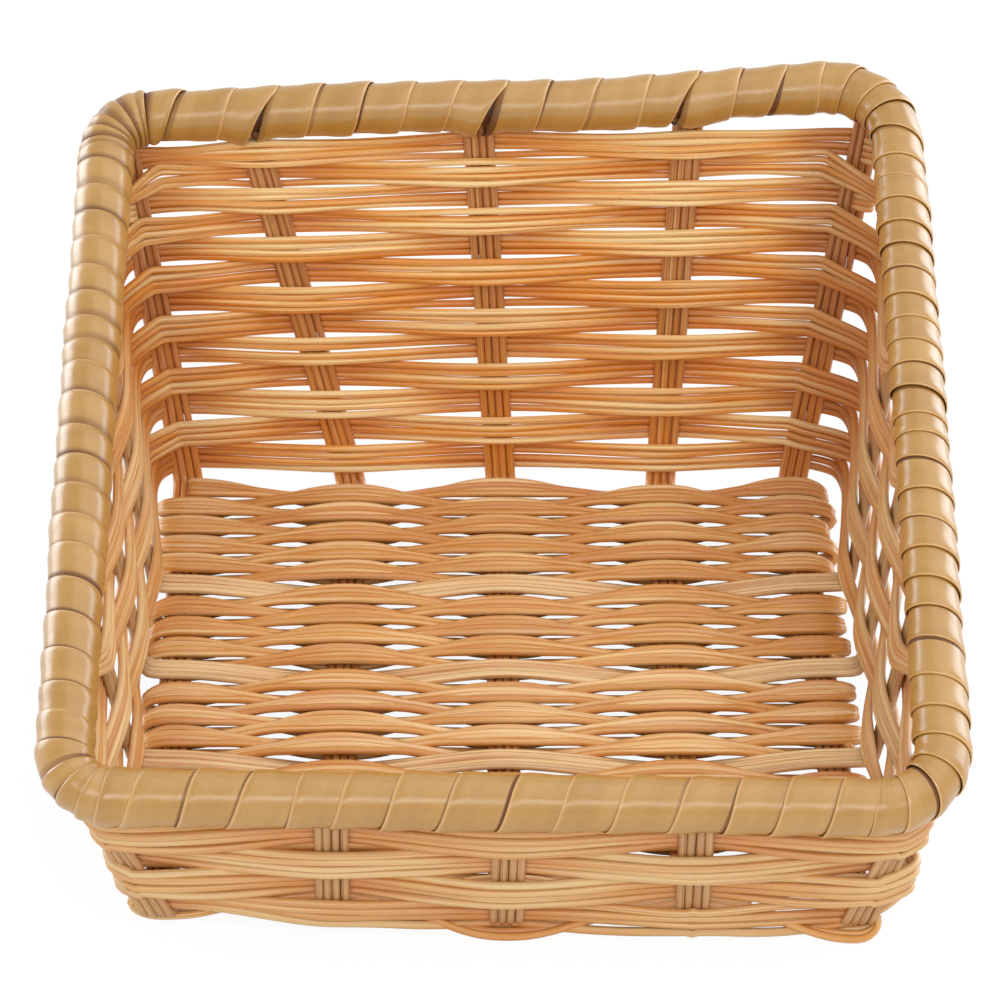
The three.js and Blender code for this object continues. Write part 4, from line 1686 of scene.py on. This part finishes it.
@dataclass
class RimBinding(SubAssembly):
    """One flat strip wound round the rod, each turn lying on the next one."""

    seat: float = 8.45
    thickness: float = 0.5
    overlap: float = 0.16
    overlap_wander: Span = (0.8, 60.0)
    edge_lift: float = 0.25
    lift_zone: Span = (0.45, 0.4)
    puff: Span = (0.05, 0.35)
    swelling: Span = (0.28, 75.0)
    usual_pitch: float = 12.0
    turn_run: float = 55.0
    face_shift: float = 0.4
    stations: int = 30
    bulge: float = 2.4
    bulge_reach: float = 7.0
    bulge_turn: float = 0.5
    bulge_power: float = 1.5
    lead: float = 7.0
    unevenness: float = 0.16
    side_unevenness: float = 0.26
    opening: float = 6.4
    gap_shifts: tuple[float, ...] = (6.0, 6.0, -9.0)
    gap_shares: tuple[float, ...] = (1.0, 1.0, 0.95)
    lone_gap: Span = (93.0, 0.35)
    gap_run: Span = (0.12, 0.46)
    seed: int = 77

    def turn_starts(self) -> Array:
        """Distances along the rim where the turns start, below it.

        Returns:
            One distance per turn, and the length of the rim.
        """
        rim = self.plan.rim
        rng = np.random.default_rng(self.seed)
        starts = [0.0]
        while starts[-1] < rim.length:
            ahead = (piece for piece in RimPiece if starts[-1] < rim.ends[piece] - self.lead)
            piece = next(ahead, RimPiece.BACK_LEFT)
            on_side = piece in (RimPiece.RIGHT, RimPiece.LEFT)
            uneven = self.side_unevenness if on_side else self.unevenness
            starts.append(starts[-1] + WINDINGS[piece].pitch * (1 + uneven * rng.uniform(-1, 1)))
        return np.array(starts) * rim.length / starts[-1]

    def build(self) -> None:
        """Builds the wound strip."""
        rim = self.plan.rim
        starts = self.turn_starts()
        turns = len(starts) - 1
        rng = np.random.default_rng(self.seed + 1)
        whole = np.arange(turns * self.stations) / self.stations
        run = whole * self.usual_pitch

        def wound(turn: Array) -> Array:
            """Distance along the rim after a number of turns."""
            laps = np.floor(turn / turns)
            return laps * rim.length + np.interp(turn - laps * turns, np.arange(turns + 1), starts)

        across, level = STRIP_PROFILE[:, 0][None], STRIP_PROFILE[:, 1][None]
        turn = whole[:, None]
        angle = -TURN * turn * np.ones_like(across)
        low, high = wound(turn), wound(turn + 1)
        crease = self.crease_width(low)
        laps = self.overlap * (high - low) + waver(rng, run, *self.overlap_wander)[:, None]
        laps = laps - self.gaps(whole, starts)[:, None] * (1 + self.overlap)
        distance = mix(low, high + laps, across)
        lift_start, lift_width = self.lift_zone
        lie = ease((across - lift_start) / lift_width) * (self.thickness + self.edge_lift)
        puff = (self.puff[0] + self.puff[1] * crease) * np.sin(math.pi * across)
        amount, longest = self.swelling
        radius = self.seat + lie + puff + level * self.thickness
        radius = radius + amount * waver(rng, run, 1.0, longest)[:, None]
        rings = rim.around(distance, radius + self.swell(distance, angle), angle)
        face = np.floor(level + 0.5) * self.face_shift
        grain = np.stack(np.broadcast_arrays(across, face, turn * self.turn_run / GRAIN_RUN), axis=-1)
        mesh = ReedMesh()
        beyond = (across * (high + laps - low) - laps) / crease
        mesh.add_rings(rings, grain, beyond, edge=across * np.ones_like(turn), closed=True)
        mesh.build("rim_binding_strip", "rim_wrap", "rim_strip", self.finish)

    def crease_width(self, distance: Array) -> Array:
        """Width of the crease with its painted shadow at distances along the rim.

        Args:
            distance: The distances.

        Returns:
            As many widths, in millimetres.
        """
        ends = self.plan.rim.ends
        middles = [(start + end) / 2 for start, end in zip([0.0] + ends, ends)]
        widths = [WINDINGS[piece].crease for piece in RimPiece]
        return np.interp(np.mod(distance, self.plan.rim.length), middles, widths)

    def gaps(self, whole: Array, starts: Array) -> Array:
        """How far the free edge draws back beside the heads of the back stakes.

        Args:
            whole: Turns from the start of the strip.
            starts: Distances along the rim where the turns start.

        Returns:
            One opening per station, in millimetres.
        """
        total = np.zeros_like(whole)
        places = [stake.distance + shift for stake, shift in zip(self.plan.backs[1:-1], self.gap_shifts)]
        lone_place, lone_share = self.lone_gap
        places.append(self.plan.head_distance(RimPiece.BACK, 0, lone_place))
        opens, closes = self.gap_run
        for place, share in zip(places, (*self.gap_shares, lone_share)):
            since = whole - (int(np.argmin(np.abs(starts - place))) - 1)
            opened = np.where(since < 0, ease(1 + since / opens), 1 - np.clip(since / closes, 0, 1) ** 2)
            total += self.opening * share * np.clip(opened, 0, 1) * (since > -opens)
        return total

    def swell(self, distance: Array, angle: Array) -> Array:
        """How far the strip stands out below, where it goes round the heads of the back stakes.

        Args:
            distance: Distances along the rim.
            angle: Turns from straight down, in radians.

        Returns:
            Millimetres, of the same shape.
        """
        total = np.zeros_like(distance)
        low = np.clip(np.cos(angle + self.bulge_turn), 0, 1) ** self.bulge_power
        for stake in self.plan.backs[1:-1]:
            total += self.bulge * np.exp(-((distance - stake.distance) / self.bulge_reach) ** 2)
        return total * low


# Studio


@dataclass
class Studio:
    """Camera, lamps and the white floor."""

    eye: tuple[float, float, float] = (-0.01095, -1.1665, 0.8649)
    yaw: float = 0.48
    pitch: float = 34.0
    roll: float = 0.157
    lens: float = 145.9
    sensor: float = 36.0
    sight: float = 30.0
    floor_size: float = 6.0
    floor_white: float = 0.86
    floor_glow: float = 1.03
    floor_glow_share: float = 0.9
    surround: float = 0.78
    white: tuple[float, float, float, float] = (1.0, 1.0, 1.0, 1.0)
    sky: Colour = (0.8, 0.9, 1.0)

    def camera(self) -> None:
        """The camera at the photo's angle."""
        yaw, pitch, roll = (math.radians(a) for a in (self.yaw, self.pitch, self.roll))
        ahead = Vector((math.sin(yaw) * math.cos(pitch), math.cos(yaw) * math.cos(pitch), -math.sin(pitch)))
        right = Vector((math.cos(yaw), -math.sin(yaw), 0))
        above = right.cross(ahead)
        right, above = (math.cos(roll) * right + math.sin(roll) * above,
                        math.cos(roll) * above - math.sin(roll) * right)
        turned = Matrix((right, above, -ahead)).transposed().to_4x4()
        turned.translation = Vector(self.eye)
        data = bpy.data.cameras.new("camera")
        data.lens = self.lens
        data.sensor_width = self.sensor
        data.clip_end = self.sight
        camera = bpy.data.objects.new("camera", data)
        camera.matrix_world = turned
        bpy.context.scene.collection.objects.link(camera)
        bpy.context.scene.camera = camera

    def lamp(self, name: str, place: Sequence[float], aim: Sequence[float], size: tuple[float, float],
             power: float, colour: Colour = (1.0, 1.0, 1.0)) -> None:
        """One soft rectangular lamp.

        Args:
            name: Its name.
            place: Where it stands, in metres.
            aim: The point that it faces.
            size: Its width and height, in metres.
            power: Its power, in watts.
            colour: Its colour.
        """
        data = bpy.data.lights.new(name, "AREA")
        data.shape = "RECTANGLE"
        data.size, data.size_y = size
        data.energy = power
        data.color = colour
        lamp = bpy.data.objects.new(name, data)
        lamp.location = place
        lamp.rotation_euler = (Vector(aim) - Vector(place)).to_track_quat("-Z", "Y").to_euler()
        bpy.context.scene.collection.objects.link(lamp)

    def lamps(self) -> None:
        """The lamps of the studio."""
        self.lamp("overhead_lamp", (0.7, 0.0, 1.7), (0, 0, 0.05), (2.2, 2.0), 10.5)
        self.lamp("front_lamp", (0.0, -1.5, 1.22), (0, 0, 0.08), (2.0, 0.34), 9.0)
        self.lamp("left_lamp", (-1.25, 0.85, 0.3), (0, 0, 0.1), (1.1, 0.9), 13.0, self.sky)
        self.lamp("right_lamp", (1.25, 0.8, 0.45), (0, 0, 0.1), (1.1, 0.9), 10.5, self.sky)

    def world(self) -> None:
        """A white surround: the camera sees it at full strength, the basket a little weaker."""
        world = bpy.data.worlds.new("studio")
        sheet = Sheet.empty(world)
        rays = sheet.node("ShaderNodeLightPath", {}, {}).outputs["Is Camera Ray"]
        strength = sheet.node("ShaderNodeMix", {}, {0: rays, 2: self.surround, 3: 1.0}).outputs[0]
        light = sheet.node("ShaderNodeBackground", {}, {"Color": self.white, "Strength": strength})
        sheet.node("ShaderNodeOutputWorld", {}, {0: light.outputs[0]})
        bpy.context.scene.world = world

    def floor(self) -> None:
        """A white floor that keeps a faint shadow."""
        half = self.floor_size / 2
        mesh = bpy.data.meshes.new("floor")
        corners = [(-half, -half, 0), (half, -half, 0), (half, half, 0), (-half, half, 0)]
        mesh.from_pydata(corners, [], [(0, 1, 2, 3)])
        sheet = Sheet.empty(bpy.data.materials.new("floor_white"))
        rays = sheet.node("ShaderNodeLightPath", {}, {})
        matt = sheet.node("ShaderNodeBsdfDiffuse", {}, {"Color": (*[self.floor_white] * 3, 1.0)})
        glow = sheet.node("ShaderNodeEmission", {}, {"Color": self.white, "Strength": self.floor_glow})
        share = Value(sheet, rays.outputs["Is Camera Ray"]) * self.floor_glow_share
        mixed = sheet.node("ShaderNodeMixShader", {}, {0: share, 1: matt.outputs[0], 2: glow.outputs[0]})
        sheet.node("ShaderNodeOutputMaterial", {}, {"Surface": mixed.outputs[0]})
        mesh.materials.append(sheet.owner)
        floor = bpy.data.objects.new("floor", mesh)
        bpy.context.scene.collection.objects.link(floor)

    def build(self) -> None:
        """Builds the studio."""
        self.camera()
        self.lamps()
        self.world()
        self.floor()
        bpy.context.scene.view_settings.view_transform = "Standard"


def main() -> None:
    """Builds and dresses the basket, then the studio."""
    logging.basicConfig(level=logging.INFO, format="%(name)s: %(message)s")
    plan = BasketPlan()
    # The stakes' side colour is a painted shadow, a darker brown from where they bend up the side walls
    stake_reed = ReedFinish("stake_reed", pale=srgb(238, 202, 146), middle=srgb(204, 142, 78),
                            deep=srgb(172, 102, 46), dark=srgb(118, 66, 32), painted_shading_share=0.5,
                            side_painted_shading=srgb(150, 104, 64), corner_shade_share=0.45, foot_glow_share=0.6).make()
    wall_reed = ReedFinish("wall_reed", pale=srgb(252, 220, 156), middle=srgb(234, 159, 62),
                           deep=srgb(220, 127, 34), dark=srgb(168, 94, 36), painted_shading_share=0.42, outer_painted_shading=0.14,
                           corner_shade_share=0.55, right_shade_share=0.18, blush_share=0.1, line_share=0.4).make()
    base_reed = ReedFinish("base_reed", pale=srgb(244, 208, 150), middle=srgb(219, 156, 77),
                           deep=srgb(204, 128, 52), dark=srgb(178, 106, 50), line_share=0.38).make()
    # The rod is dark brown; its darkness also stands in for the shade inside the strip's gaps, the only place
    # where it shows
    rod = ReedFinish("rim_rod", pale=srgb(128, 86, 56), middle=srgb(98, 60, 40),
                     deep=srgb(74, 44, 32), dark=srgb(52, 30, 22), coat=0.0).make()
    StakeBundles(plan, stake_reed).build()
    WallWeave(plan, wall_reed).build()
    BaseWeave(plan, base_reed).build()
    RimRod(plan, rod).build()
    RimBinding(plan, StripFinish().make()).build()
    Studio().build()


if __name__ == "__main__":
    main()
